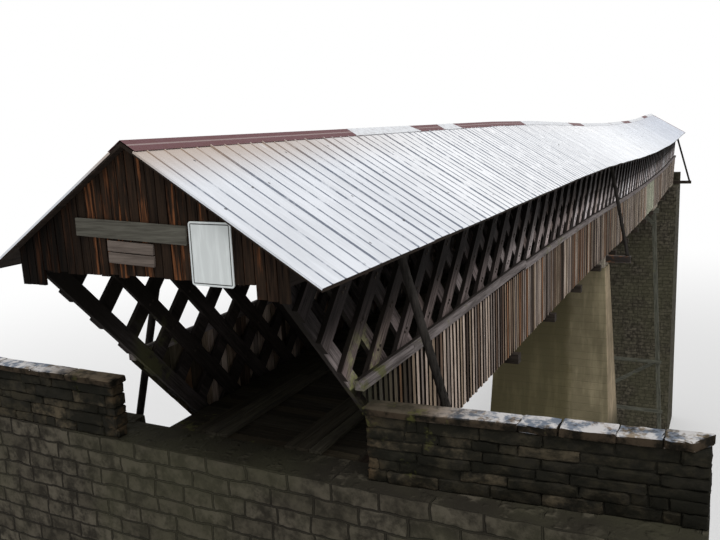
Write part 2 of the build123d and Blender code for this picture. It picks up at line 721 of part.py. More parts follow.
# Export
pieces = {
    "near_right_lattice": near_right_lattice,
    "far_right_lattice": far_right_lattice,
    "near_left_lattice": near_left_lattice,
    "far_left_lattice": far_left_lattice,
    "right_top_chord": right_top_chord,
    "left_top_chord": left_top_chord,
    "right_lower_chord": right_lower_chord,
    "left_lower_chord": left_lower_chord,
    "right_rail": right_rail,
    "left_rail": left_rail,
    "right_boarding": right_boarding,
    "left_boarding": left_boarding,
    "deck": deck,
    "running_planks": running_planks,
    "stringers": stringers,
    "floor_beams": floor_beams,
    "abutment_bed_timbers": abutment_bed_timbers,
    "pier_blocks": pier_blocks,
    "bent_bolsters": bent_bolsters,
    "tie_beams": tie_beams,
    "rafters": rafters,
    "right_roof": right_roof,
    "left_roof": left_roof,
    "rusted_ridge_cap": rusted_ridge_cap,
    "bright_ridge_cap": bright_ridge_cap,
    "near_gable": near_gable,
    "far_gable": far_gable,
    "name_board": name_board,
    "small_boards": small_boards,
    "plain_sign": plain_sign,
    "end_outriggers": end_outriggers,
    "pier_beam": pier_beam,
    "brace_poles": brace_poles,
    "pier": pier,
    "bent_cap": bent_cap,
    "bent_posts": bent_posts,
    "bent_bracing": bent_bracing,
    "near_abutment": near_abutment,
    "far_abutment": far_abutment,
    "right_parapet": right_parapet,
    "left_parapet": left_parapet,
    "parapet_caps": parapet_caps,
}

os.makedirs("parts", exist_ok=True)
for name, piece in pieces.items():
    piece.part.label = name
    export_step(piece.part, f"parts/{name}.step")
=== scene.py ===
"""Looks of the covered timber bridge: sheets, boards, pegs, stones and the finish of every surface.

The script is laid out as an add-on and run as a script. All sizes are in metres, in the frame of
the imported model: X runs along the bridge from the near portal, Y to the left and Z up. Pieces are
built on a straight line first and then dropped onto the bridge's sagging line.
"""

from functools import reduce
from math import cos, pi, radians, sin
from random import Random

import bmesh
import bpy
from bpy.props import FloatProperty, FloatVectorProperty, IntProperty, PointerProperty
from mathutils import Matrix, Vector


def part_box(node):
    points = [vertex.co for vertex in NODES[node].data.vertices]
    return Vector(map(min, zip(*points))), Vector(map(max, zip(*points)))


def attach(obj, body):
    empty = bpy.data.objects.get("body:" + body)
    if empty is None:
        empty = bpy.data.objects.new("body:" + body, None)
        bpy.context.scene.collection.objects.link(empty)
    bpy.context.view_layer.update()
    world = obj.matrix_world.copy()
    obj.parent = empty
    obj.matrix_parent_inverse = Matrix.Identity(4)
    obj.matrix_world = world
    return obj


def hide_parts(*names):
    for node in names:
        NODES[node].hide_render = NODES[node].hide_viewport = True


bl_info = {
    "name": "Covered bridge dressing",
    "version": (1, 0, 0),
    "blender": (4, 5, 0),
    "location": "3D View > Sidebar > Bridge",
    "description": "Dresses the covered timber bridge with its sheets, boards, stones and finishes",
    "category": "Object",
}

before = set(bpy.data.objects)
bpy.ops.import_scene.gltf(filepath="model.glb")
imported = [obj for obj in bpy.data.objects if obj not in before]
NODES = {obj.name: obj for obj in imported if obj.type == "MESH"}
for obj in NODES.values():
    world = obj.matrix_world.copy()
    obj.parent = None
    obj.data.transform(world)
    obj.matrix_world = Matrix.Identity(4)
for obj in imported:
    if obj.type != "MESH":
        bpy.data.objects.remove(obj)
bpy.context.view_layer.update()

# Sizes that the source of the solids also names
ROOF_SLAB = 0.025
LATTICE_SPACING = 0.4885
LATTICE_RUN = 0.913
LATTICE_MIDDLE = 0.954
PLANK_THICKNESS = 0.038
FIRST_PLANK = 0.9346
PLANK_MIDDLE_LEVEL = -0.860
RAKE_TOP_STATION = 0.075

# The two sides of the road, by the sign of their Y
SIDES = ((-1, "right"), (1, "left"))

# Places nearer than this count as one
CLOSE = 0.001

# Ribs at which the first sheets lap, the rib from which laps are even, and how many ribs apart they are
FIRST_LAPS = [4, 8, 10, 12]
EVEN_LAPS_FROM = 14
LAP_EVERY = 4

# How far sheets stand off the roof's boards, every other one above the rest, and past the roof's ends
SHEET_LIFT = 0.003
LAP_LIFT = 0.002
END_OVERHANG = 0.002

# How far each sheet reaches past the eave
EAVE_OVERHANG = (0.004, 0.012)

# Where each length of the ridge cap starts, from the near edge of the roof, and whether it is maroon
CAP_LENGTHS = (
    (0.0, True),
    (2.87, False),
    (4.33, True),
    (5.2, False),
    (5.73, True),
    (9.05, False),
    (12.88, True),
    (14.34, False),
    (18.46, True),
    (18.62, False),
    (21.0, True),
    (22.7, False),
    (26.38, True),
    (27.71, False),
)

# Ridge cap: its rise over the ridge, how far one length lies over the next, and the slant of its ends
CAP_RISE = 0.012
CAP_STEP = 0.0015
CAP_SLANT = 0.12

# Gable boards: how uneven their feet and faces are, and the gap under the roof
GABLE_FOOT = (-0.004, 0.016)
GABLE_FACE = (-0.002, 0.002)
GABLE_GAP = 0.002

# Pegs: half the distance between a pair, how far that pair climbs, their depth and their faces
PEG_SHIFT = 0.018
PEG_CLIMB = 0.6
PEG_DEPTH = 0.008
PEG_SIDES = 7

# How far pegs stay from the chords, the rail and the raked ends, and stand off the planks
PEG_CHORD_GAP = 0.03
PEG_RAIL_GAP = 0.01
PEG_RAKE_GAP = 0.1
PEG_STAND = 0.002

# Rail lengths: where the first ones start, from the near end, the lifted length and its lift
RAIL_STARTS = (0.0, 0.96, 4.42, 8.6)
LIFTED_RAIL = 1
RAIL_LIFT = 0.035

# Rail lengths: the later ones' lengths, the longest rest, the gap at a joint and the worn edges' width
LATER_RAILS = (3.6, 4.4)
LONGEST_RAIL = 5.0
RAIL_GAP = 0.004
RAIL_WEAR = 0.005

# Side boards: thickness, the range of a gap, of a foot's level and of how far a face stands back
BOARD_THICKNESS = 0.01
BOARD_GAP = (0.8, 1.2)
BOARD_FOOT = (-0.006, 0.014)
BOARD_SET_BACK = (0.0, 0.004)

# The group of newer, paler boards on the right side, from the roof's near edge, their tone and the others'
REPLACED_BOARDS = (18.7, 20.6)
REPLACED_TONE = 0.95
OLD_TONES = (0.0, 0.91)

# Deck planks: the range of a plank's level, and of how far its ends are short of the deck's
DECK_LEVEL = (-0.003, 0.0)
DECK_SHORTFALL = (0.0, 0.012)

# Long planks for wheels: rows for each wheel, gaps between rows and between ends, and how worn they are
RUNNER_ROWS = 3
RUNNER_GAP = 0.006
RUNNER_END_GAP = 0.004
RUNNER_WEAR = (0.0, 0.003)

# Long planks for wheels: how far out of step the rows are, the range of a length, and the shortest one
RUNNER_STEP = (0.0, 1.2)
RUNNER_LENGTH = (1.8, 2.4)
SHORTEST_RUNNER = 0.05

# The sign's line: how far it is set in, and its width
SIGN_EDGE = 0.011
SIGN_LINE = 0.0065

# Parapets: how uneven their courses are, how far out of step, and the range of a stone's length
COURSE_WANDER = 0.012
COURSE_STEP = (0.0, 0.15)
STONE_RANGE = (0.35, 2.2)

# Parapets: the shortest rest of a course that still takes a stone, and the shortest stone
SHORTEST_REST = 0.09
SHORTEST_STONE = 0.03

# Stones: the width of their rounded edges, and how far points move along each axis, as a share
STONE_ROUNDING = 0.012
ROUGHNESS = (1.0, 1.0, 0.8)

# Parapets: how far stones stand back, and how far the core stays behind their faces, ends and top
STONE_SET_BACK = 0.02
CORE_SET_BACK = 0.024
CORE_END = 0.02
CORE_TOP = 0.004

# Joints of the cap slabs on each side of the road, from the inner end, and the one that gapes
SLAB_JOINTS = {-1: (1.033, 1.27, 1.607, 1.862), 1: (0.52, 0.93, 1.41, 1.8)}
GAPING_JOINT = 1.27
GAPING_GAP = 0.012
SLAB_GAP = 0.002
SLAB_SET_BACK = 0.003
SLAB_DIP = (0.0, 0.008)

# The right cap's broken end: how far it is from the wall's end, and which way the break faces
BREAK_FROM_END = 0.1
BREAK_FACES = (-0.7, 1.0, 0.2)

# Depth of the grain of rough timber
GRAIN_RELIEF = 0.004

# Keeps the numbers of the outer layer's planks apart from the inner layer's
OUTER_PLANK_NUMBERS = 311.0

# Colours of growth
TIMBER_MOSS = (0.10, 0.105, 0.03)
PLANK_MOSS = (0.2, 0.2, 0.09)
STONE_MOSS = (0.075, 0.075, 0.022)
MASONRY_MOSS = (0.06, 0.058, 0.035)

# Colours of damp, dirt and wear, and of painted light, shade and highlight
DAMP_BOARD = (0.03, 0.03, 0.018)
# Painted shade on the edges of the side boards
SHADED_BOARD_EDGE = (0.006, 0.005, 0.004)
DULL_SHEET = (0.42, 0.46, 0.53)
# Painted light on the middle of the roof
LIT_SHEET = (0.95, 0.96, 0.98)
FAR_SHEET = (0.5, 0.54, 0.63)
SHEET_STAIN = (0.33, 0.34, 0.36)
SHEET_MARK = (0.06, 0.055, 0.06)
FAR_EDGE_RUST = (0.2, 0.12, 0.13)
CAP_DIRT = (0.12, 0.06, 0.045)
# Painted highlight along the ridge cap's folds
CAP_FOLD_HIGHLIGHT = (0.34, 0.27, 0.26)
STONE_PITS = (0.02, 0.018, 0.014)
WARM_STONE = (0.15, 0.095, 0.05)
DARK_SLAB = (0.035, 0.03, 0.02)
GRIME = (0.009, 0.0088, 0.0065)
CRUST = ((0.17, 0.2, 0.25), (0.58, 0.57, 0.57))
SLAB_SIDE = ((0.008, 0.007, 0.005), (0.045, 0.033, 0.022))

# Tints of separate planks and boards, and of planks far away
PLANK_TONES = (
    (0.5, 0.47, 0.46),
    (0.8, 0.8, 0.8),
    (0.65, 0.6, 0.58),
    (1.0, 1.0, 1.0),
    (0.6, 0.54, 0.5),
    (0.9, 0.86, 0.85),
)
FAR_PLANK_TINT = (0.85, 0.97, 1.02)
FLOOR_TONES = ((1.0, 1.0, 1.0), (0.75, 0.72, 0.7), (1.2, 1.12, 1.0), (0.6, 0.58, 0.55))
WHITISH, TAN, RUSTY = (1.7, 1.62, 1.55), (1.0, 0.9, 0.76), (0.85, 0.52, 0.33)
BROWN, GREY, DARK = (0.5, 0.4, 0.33), (0.8, 0.77, 0.77), (0.2, 0.165, 0.145)
REPLACED = (1.6, 1.85, 1.6)
BOARD_TONES = (TAN, DARK, WHITISH, GREY, RUSTY, TAN, WHITISH, BROWN, DARK, GREY, WHITISH, REPLACED)

# Colours of separate stones, of the cap slabs, and of the abutments' stones and joints
STONE_TONES = (
    (0.016, 0.015, 0.011),
    (0.045, 0.038, 0.025),
    (0.02, 0.018, 0.012),
    (0.1, 0.08, 0.052),
    (0.03, 0.027, 0.018),
)
SLAB_TONES = ((0.19, 0.15, 0.095), (0.28, 0.22, 0.175), (0.23, 0.185, 0.135))
MASONRY_TONES = ((0.062, 0.054, 0.04), (0.1, 0.088, 0.066), (0.024, 0.021, 0.016))


# The bridge's line


def line_of(node):
    """The line along the top of a long node, as (x, z) where it bends."""
    tops = {}
    for vertex in NODES[node].data.vertices:
        x = round(vertex.co.x, 3)
        tops[x] = max(tops.get(x, vertex.co.z), vertex.co.z)
    return sorted(tops.items())


LINE = line_of("right_roof")
NEAR_X, RIDGE_Z = LINE[0]
FAR_X = LINE[-1][0]


def drop(x):
    """How far the sagging line lies under its near end."""
    if x <= NEAR_X:
        return 0.0
    for (x0, z0), (x1, z1) in zip(LINE, LINE[1:]):
        if x <= x1:
            return RIDGE_Z - z0 - (z1 - z0) * (x - x0) / (x1 - x0)
    return RIDGE_Z - LINE[-1][1]


def straight(node):
    """Lowest and highest level of a node once its sag is taken out."""
    levels = [v.co.z + drop(v.co.x) for v in NODES[node].data.vertices]
    return min(levels), max(levels)


def side_of(node):
    """Y of a node's inner and outer face, both positive."""
    low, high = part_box(node)
    return tuple(sorted((abs(low.y), abs(high.y))))


ROOF_HALF_WIDTH = side_of("right_roof")[1]
EAVE_Z = straight("right_roof")[0] + ROOF_SLAB
ROOF_SLOPE = (RIDGE_Z - EAVE_Z) / ROOF_HALF_WIDTH
SLOPE_STRETCH = (1.0 + ROOF_SLOPE ** 2) ** 0.5


# Mesh helpers


def add_box(bm, low, high, tone):
    """A box between two corners. Its faces carry the tone that its finish reads."""
    low, high = Vector(low), Vector(high)
    size = high - low
    place = Matrix.Translation((low + high) / 2) @ Matrix.Diagonal((*size, 1.0))
    made = bmesh.ops.create_cube(bm, size=1.0, matrix=place)
    paint(bm, made["verts"], tone)
    return made["verts"]


def paint(bm, verts, tone):
    """Gives the faces round some points a tone."""
    layer = bm.faces.layers.float.get("tone") or bm.faces.layers.float.new("tone")
    for face in {face for vertex in verts for face in vertex.link_faces}:
        face[layer] = tone


def cut(bm, place, normal, clear_outer=False):
    """Cuts a piece along a plane, and returns the edges of the cut."""
    everything = bm.verts[:] + bm.edges[:] + bm.faces[:]
    plane = {"plane_co": place, "plane_no": normal}
    made = bmesh.ops.bisect_plane(bm, geom=everything, clear_outer=clear_outer, **plane)
    return edges_in(made["geom_cut"])


def verts_in(parts):
    return [part for part in parts if isinstance(part, bmesh.types.BMVert)]


def edges_in(parts):
    return [part for part in parts if isinstance(part, bmesh.types.BMEdge)]


def cut_at_bends(bm):
    """Cuts long faces where the bridge's line bends."""
    for x, _ in LINE[1:-1]:
        cut(bm, (x, 0, 0), (1, 0, 0))


def hang(bm):
    """Drops a straight piece onto the bridge's sagging line."""
    for vertex in bm.verts:
        vertex.co.z -= drop(vertex.co.x)


def hang_sheet(bm, thickness):
    """Gives a folded sheet its thickness and drops it onto the bridge's line."""
    bmesh.ops.solidify(bm, geom=bm.faces[:], thickness=thickness)
    bmesh.ops.recalc_face_normals(bm, faces=bm.faces[:])
    cut_at_bends(bm)
    hang(bm)


def soften(bm, width, edges=None, segments=1):
    """Bevels a piece's edges, or the given ones."""
    bmesh.ops.bevel(bm, geom=edges or bm.edges[:], offset=width, offset_type="OFFSET", segments=segments,
                    profile=0.5, affect="EDGES", clamp_overlap=True, material=-1)


def copy_of(*names):
    """A merged copy of CAD nodes, to be given softer edges or rounder sides."""
    bm = bmesh.new()
    for name in names:
        bm.from_mesh(NODES[name].data)
    bmesh.ops.remove_doubles(bm, verts=bm.verts, dist=0.0002)
    bmesh.ops.dissolve_limit(bm, angle_limit=radians(0.4), verts=bm.verts[:], edges=bm.edges[:])
    return bm


def mesh_from(bm, name):
    """Turns a bmesh into a mesh and frees it."""
    mesh = bpy.data.meshes.new(name)
    bm.to_mesh(mesh)
    bm.free()
    return mesh


def finish_piece(bm, name, finishes, replaced=(), smooth_angle=None):
    """Turns a bmesh into a piece of the bridge, with its materials and the nodes it stands for."""
    mesh = mesh_from(bm, name)
    for finish in finishes:
        mesh.materials.append(finish)
    if smooth_angle is not None:
        mesh.shade_smooth()
        mesh.set_sharp_from_angle(angle=radians(smooth_angle))
    piece = bpy.data.objects.new(name, mesh)
    bpy.context.scene.collection.objects.link(piece)
    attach(piece, "root")
    if replaced:
        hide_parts(*replaced)


def dress(finish, *names):
    """Gives CAD nodes that keep their own shape a finish."""
    for name in names:
        mesh = NODES[name].data
        mesh.materials.clear()
        mesh.materials.append(finish)


# Shader helpers


def darker(colour, share):
    """A share of a colour, from 0 for black to 1 for the colour itself."""
    return [part * share for part in colour]


class ShaderTree:
    """A shader tree and short ways to fill it. Values are numbers or the outputs of other nodes."""

    def __init__(self, tree):
        self.tree = tree

    def feed(self, socket, value):
        """Links an output to an input, or sets the input. Colours come without their alpha."""
        if isinstance(value, bpy.types.NodeSocket):
            self.tree.links.new(value, socket)
        elif socket.type == "RGBA":
            socket.default_value = (*value[:3], 1.0)
        else:
            socket.default_value = value

    def add(self, kind, inputs=None, **settings):
        """Adds a node. Its inputs are named or numbered."""
        node = self.tree.nodes.new("ShaderNode" + kind)
        for key, value in settings.items():
            setattr(node, key, value)
        for key, value in (inputs or {}).items():
            self.feed(node.inputs[key], value)
        return node

    def maths(self, operation, *values, clamp=False):
        inputs = dict(enumerate(values))
        return self.add("Math", inputs, operation=operation, use_clamp=clamp).outputs[0]

    def times(self, *values):
        return reduce(lambda first, second: self.maths("MULTIPLY", first, second), values)

    def plus(self, *values):
        return reduce(lambda first, second: self.maths("ADD", first, second), values)

    def minus(self, first, second):
        return self.maths("SUBTRACT", first, second)

    def linear(self, value, factor, offset):
        """A value times a factor, plus an offset."""
        return self.maths("MULTIPLY_ADD", value, factor, offset)

    def magnitude(self, value):
        """A value without its sign."""
        return self.maths("ABSOLUTE", value)

    def span(self, value, low, high):
        """A mask that rises from 0 to 1 as a value goes from low to high."""
        limits = {"Value": value, "From Min": low, "From Max": high}
        return self.add("MapRange", limits, interpolation_type="SMOOTHSTEP").outputs["Result"]

    def blend(self, first, second, *masks, blend_type="MIX"):
        """The first colour, turned into the second as far as all the masks allow."""
        inputs = {0: self.times(*masks), 6: first, 7: second}
        return self.add("Mix", inputs, data_type="RGBA", blend_type=blend_type).outputs[2]

    def tint(self, colour, by):
        return self.blend(colour, by, 1.0, blend_type="MULTIPLY")

    def lit(self, colour, strength):
        """A colour made darker or brighter, also past white."""
        return self.add("VectorMath", {0: colour, "Scale": strength}, operation="SCALE").outputs[0]

    def pick(self, seed, tones, interpolation="CONSTANT"):
        """One of several colours, or one between them, by a number from 0 to 1."""
        ramp = self.add("ValToRGB", {"Fac": seed})
        ramp.color_ramp.interpolation = interpolation
        steps = len(tones) if interpolation == "CONSTANT" else len(tones) - 1
        while len(ramp.color_ramp.elements) < len(tones):
            ramp.color_ramp.elements.new(0.5)
        for i, tone in enumerate(tones):
            ramp.color_ramp.elements[i].position = i / steps
            ramp.color_ramp.elements[i].color = (*tone, 1.0)
        return ramp.outputs["Color"]

    def vector(self, *parts):
        return self.add("CombineXYZ", dict(enumerate(parts))).outputs[0]

    def split(self, vector):
        return self.add("SeparateXYZ", {0: vector}).outputs

    def scaled(self, vector, scale):
        return self.add("VectorMath", {0: vector, 1: scale}, operation="MULTIPLY").outputs[0]

    def moved(self, vector, step, seed):
        """A vector moved by a step times a seed, so that each board or stone has a pattern of its own."""
        shift = self.add("VectorMath", {0: step, "Scale": seed}, operation="SCALE").outputs[0]
        return self.add("VectorMath", {0: vector, 1: shift}, operation="ADD").outputs[0]

    def noise(self, vector, scale, detail=4.0, roughness=0.6):
        inputs = {"Vector": vector, "Scale": scale, "Detail": detail, "Roughness": roughness}
        return self.add("TexNoise", inputs).outputs["Fac"]

    def random(self, number):
        """A number from 0 to 1 that another number always gives."""
        return self.add("TexWhiteNoise", {"W": number}, noise_dimensions="1D").outputs["Value"]

    def use(self, make_group, **inputs):
        """The outputs of a node group, which its function makes the first time."""
        name = make_group.__name__
        node = self.tree.nodes.new("ShaderNodeGroup")
        node.node_tree = bpy.data.node_groups.get(name) or make_group(name)
        for key, value in inputs.items():
            self.feed(node.inputs[key], value)
        return node.outputs

    def grain(self, vector, seed, light, dark, cracks):
        return self.use(weathered_grain, Vector=vector, Seed=seed, Light=light, Dark=dark, Cracks=cracks)

    def stains(self, vector, width, amount):
        return self.use(running_stains, Vector=vector, Width=width, Amount=amount)["Mask"]

    def patches(self, vector, size, amount):
        return self.use(soft_patches, Vector=vector, Size=size, Amount=amount)["Mask"]


class Group(ShaderTree):
    """A node group with named sockets. Inputs are (name, socket type, default)."""

    def __init__(self, name, inputs, **outputs):
        super().__init__(bpy.data.node_groups.new(name, "ShaderNodeTree"))
        for label, kind, default in inputs:
            socket = self.tree.interface.new_socket(label, in_out="INPUT", socket_type="NodeSocket" + kind)
            if default is not None:
                socket.default_value = default
        for label, kind in outputs.items():
            self.tree.interface.new_socket(label, in_out="OUTPUT", socket_type="NodeSocket" + kind)
        self.given = self.tree.nodes.new("NodeGroupInput").outputs
        self.end = self.tree.nodes.new("NodeGroupOutput").inputs

    def done(self, **results):
        """Connects the group's outputs."""
        for label, value in results.items():
            self.feed(self.end[label], value)
        return self.tree


class Finish(ShaderTree):
    """A material in the making, with the surface's place, the way it faces and the tone it carries."""

    def __init__(self, name):
        self.material = bpy.data.materials.new(name)
        self.material.use_nodes = True
        super().__init__(self.material.node_tree)
        self.tree.nodes.clear()
        self.shader = self.add("BsdfPrincipled")
        self.output = self.add("OutputMaterial", {"Surface": self.shader.outputs["BSDF"]})
        self.place = self.add("TexCoord").outputs["Object"]
        self.x, self.y, self.z = self.split(self.place)
        self.facing = self.split(self.add("NewGeometry").outputs["True Normal"])
        self.tone = self.add("Attribute", attribute_name="tone").outputs["Fac"]

    def from_portal(self, low, high):
        """A mask that rises between two distances from the roof's near edge."""
        return self.span(self.x, NEAR_X + low, NEAR_X + high)

    def from_far_end(self, low, high):
        """A mask that rises between two distances from the roof's far edge."""
        return self.span(self.x, FAR_X - low, FAR_X - high)

    def turned(self, order):
        """The place with its axes in another order, such as ZXY, so that the grain's axis comes first."""
        parts = {"X": self.x, "Y": self.y, "Z": self.z}
        return self.vector(*[parts[axis] for axis in order])

    def done(self, colour, roughness, height, relief, strength=1.0, gloss=0.05, metallic=0.0):
        """Connects the surface and returns its material. The relief is the height's depth in metres."""
        bump = self.add("Bump", {"Height": height, "Distance": relief, "Strength": strength})
        surface = {
            "Base Color": colour,
            "Roughness": roughness,
            "Metallic": metallic,
            "Specular IOR Level": gloss,
            "Normal": bump.outputs["Normal"],
        }
        for label, value in surface.items():
            self.feed(self.shader.inputs[label], value)
        return self.material


def weathered_grain(name):
    """Weathered wood. The grain runs along the vector's X, and each board is moved by its seed."""
    inputs = [
        ("Vector", "Vector", None),
        ("Seed", "Float", 0.0),
        ("Light", "Color", (0.4, 0.35, 0.3, 1)),
        ("Dark", "Color", (0.08, 0.06, 0.05, 1)),
        ("Cracks", "Float", 0.6),
    ]
    group = Group(name, inputs, Color="Color", Roughness="Float", Height="Float")
    light, dark = group.given["Light"], group.given["Dark"]
    place = group.moved(group.given["Vector"], (13.0, 9.0, 11.0), group.given["Seed"])
    broad = group.noise(group.scaled(place, (1.0, 14.0, 14.0)), 2.2, 5.0)
    fine = group.noise(group.scaled(place, (2.5, 70.0, 70.0)), 2.6, 4.0, 0.65)
    crack = group.span(group.noise(group.scaled(place, (1.2, 42.0, 42.0)), 3.0, 2.0, 0.5), 0.62, 0.7)
    depth = group.times(crack, group.given["Cracks"])
    mixed = group.plus(group.times(broad, 0.6), group.times(fine, 0.4))
    colour = group.blend(dark, light, group.span(mixed, 0.3, 0.7))
    colour = group.blend(colour, group.tint(dark, (0.35, 0.33, 0.32)), depth)
    roughness = group.linear(fine, 0.25, 0.68)
    return group.done(Color=colour, Roughness=roughness, Height=group.minus(mixed, depth))


def running_stains(name):
    """Runs of dirt or rust that go down a surface, as a mask."""
    inputs = [("Vector", "Vector", None), ("Width", "Float", 12.0), ("Amount", "Float", 0.5)]
    group = Group(name, inputs, Mask="Float")
    vector = group.given["Vector"]
    runs = group.noise(group.scaled(vector, (1.0, 1.0, 0.12)), group.given["Width"])
    clouds = group.noise(vector, 1.3, 3.0, 0.5)
    amount = group.plus(runs, group.times(clouds, 0.5))
    edge = group.minus(1.0, group.given["Amount"])
    return group.done(Mask=group.span(amount, edge, group.plus(edge, 0.22)))


def soft_patches(name):
    """Soft patches, such as moss, lichen or rust spots, as a mask."""
    inputs = [("Vector", "Vector", None), ("Size", "Float", 4.0), ("Amount", "Float", 0.5)]
    group = Group(name, inputs, Mask="Float")
    vector, size = group.given["Vector"], group.given["Size"]
    coarse = group.noise(vector, size, 5.0, 0.65)
    fine = group.noise(vector, group.times(size, 7.0), 3.0)
    amount = group.plus(group.times(coarse, 0.75), group.times(fine, 0.25))
    edge = group.linear(group.given["Amount"], -0.5, 0.78)
    return group.done(Mask=group.span(amount, edge, group.plus(edge, 0.1)))


def bridge_line(name):
    """How far the bridge's line lies under its near end, from the place along the bridge."""
    group = Group(name, [("Along", "Float", 0.0)], Drop="Float")
    deepest = max(drop(x) for x, _ in LINE)
    share = group.maths("DIVIDE", group.minus(group.given["Along"], NEAR_X), FAR_X - NEAR_X, clamp=True)
    curve = group.add("FloatCurve", {"Value": share})
    points = curve.mapping.curves[0].points
    for x, _ in LINE[1:-1]:
        points.new((x - NEAR_X) / (FAR_X - NEAR_X), drop(x) / deepest)
    points[0].location = (0.0, 0.0)
    points[len(points) - 1].location = (1.0, drop(FAR_X) / deepest)
    for point in points:
        point.handle_type = "VECTOR"
    curve.mapping.update()
    return group.done(Drop=group.times(curve.outputs[0], deepest))


# Finishes


def timber_finish(
    name, light, dark, order="XYZ", cracks=0.6, tones=None, moss=0.0, far_light_tint=None, relief=GRAIN_RELIEF
):
    """Bare weathered timber whose grain runs along the first axis of the order.

    Tones are colours that separate boards are tinted with, from the tone that each board carries.
    Moss grows thicker by the near portal. A tint of painted light makes upright boards paler and bluer
    along the bridge. They are damp by the portal, and painted shade darkens their edges."""
    finish = Finish(name)
    grain = finish.grain(finish.turned(order), finish.tone, light, dark, cracks)
    colour = grain["Color"]
    if tones:
        colour = finish.tint(colour, finish.pick(finish.tone, tones))
    if moss:
        amount = finish.linear(finish.from_portal(1.7, 0.9), 0.25, moss)
        colour = finish.blend(colour, TIMBER_MOSS, finish.patches(finish.place, 3.0, amount), 0.75)
    if far_light_tint:
        colour = finish.blend(colour, DAMP_BOARD, finish.from_portal(2.0, 1.3), 0.85)
        # Painted light, paler and bluer further along the bridge
        colour = finish.blend(colour, finish.tint(colour, far_light_tint), finish.from_portal(8.0, 17.0))
        # Painted shade on the boards' edges
        colour = finish.blend(colour, SHADED_BOARD_EDGE, finish.span(finish.magnitude(finish.facing[0]), 0.5, 0.7))
    return finish.done(colour, grain["Roughness"], grain["Height"], relief)


def plank_numbers(finish, side):
    """Where a point lies along and across its lattice plank, that plank's number, and the point's level.

    The outer layer leans away from the near portal and the inner one towards it."""
    outer = finish.maths("GREATER_THAN", finish.times(finish.y, side), LATTICE_MIDDLE)
    sagging = finish.use(bridge_line, Along=finish.x)["Drop"]
    level = finish.minus(finish.plus(finish.z, sagging), EAVE_Z + PLANK_MIDDLE_LEVEL)
    rise = finish.times(level, finish.linear(outer, 2.0, -1.0))
    along = finish.plus(finish.times(finish.x, LATTICE_RUN), rise)
    across = finish.minus(finish.x, finish.times(rise, LATTICE_RUN))
    inner_start = NEAR_X + FIRST_PLANK
    start = finish.linear(outer, -2.0 * inner_start, inner_start)
    count = finish.maths("DIVIDE", finish.minus(across, start), LATTICE_SPACING)
    number = finish.maths("FLOOR", finish.plus(count, 0.5))
    return along, across, finish.plus(number, finish.times(outer, OUTER_PLANK_NUMBERS)), level


def lattice_finish(name, light, dark, inner_shade, side):
    """Planks of one truss, each with its own tone, mossy by the portal. Painted light makes them paler with
    distance.

    Painted shade darkens them up under the eave, behind the side boards and on the faces towards the road."""
    finish = Finish(name)
    along, across, number, level = plank_numbers(finish, side)
    seed = finish.random(number)
    grain = finish.grain(finish.vector(along, across, finish.y), seed, light, dark, 0.7)
    colour = finish.tint(grain["Color"], finish.pick(seed, PLANK_TONES))
    by_portal = finish.times(finish.from_portal(1.4, 1.15), finish.from_portal(0.8, 0.95))
    growth = finish.patches(finish.place, 2.5, 0.6)
    colour = finish.blend(colour, PLANK_MOSS, growth, by_portal, finish.span(level, 0.4, 0.1))
    far = finish.from_portal(2.0, 16.0)
    colour = finish.blend(colour, finish.tint(colour, FAR_PLANK_TINT), far)
    # Painted shade that deepens up under the eave
    from_eave = finish.maths("POWER", finish.span(level, 0.6, -0.02), 1.5)
    # Painted light that brightens the planks with distance from the portal
    daylight = finish.times(finish.linear(far, 9.5, 2.0), finish.linear(from_eave, 0.94, 0.06))
    # Painted shade on the faces towards the road and behind the side boards
    outward = finish.span(finish.times(finish.facing[1], side), 0.3, 0.7)
    above_boards = finish.span(level, -0.09, -0.07)
    seen = finish.linear(finish.times(outward, above_boards), 0.9, 0.1)
    colour = finish.blend(inner_shade, finish.lit(colour, daylight), seen)
    return finish.done(colour, grain["Roughness"], grain["Height"], GRAIN_RELIEF)


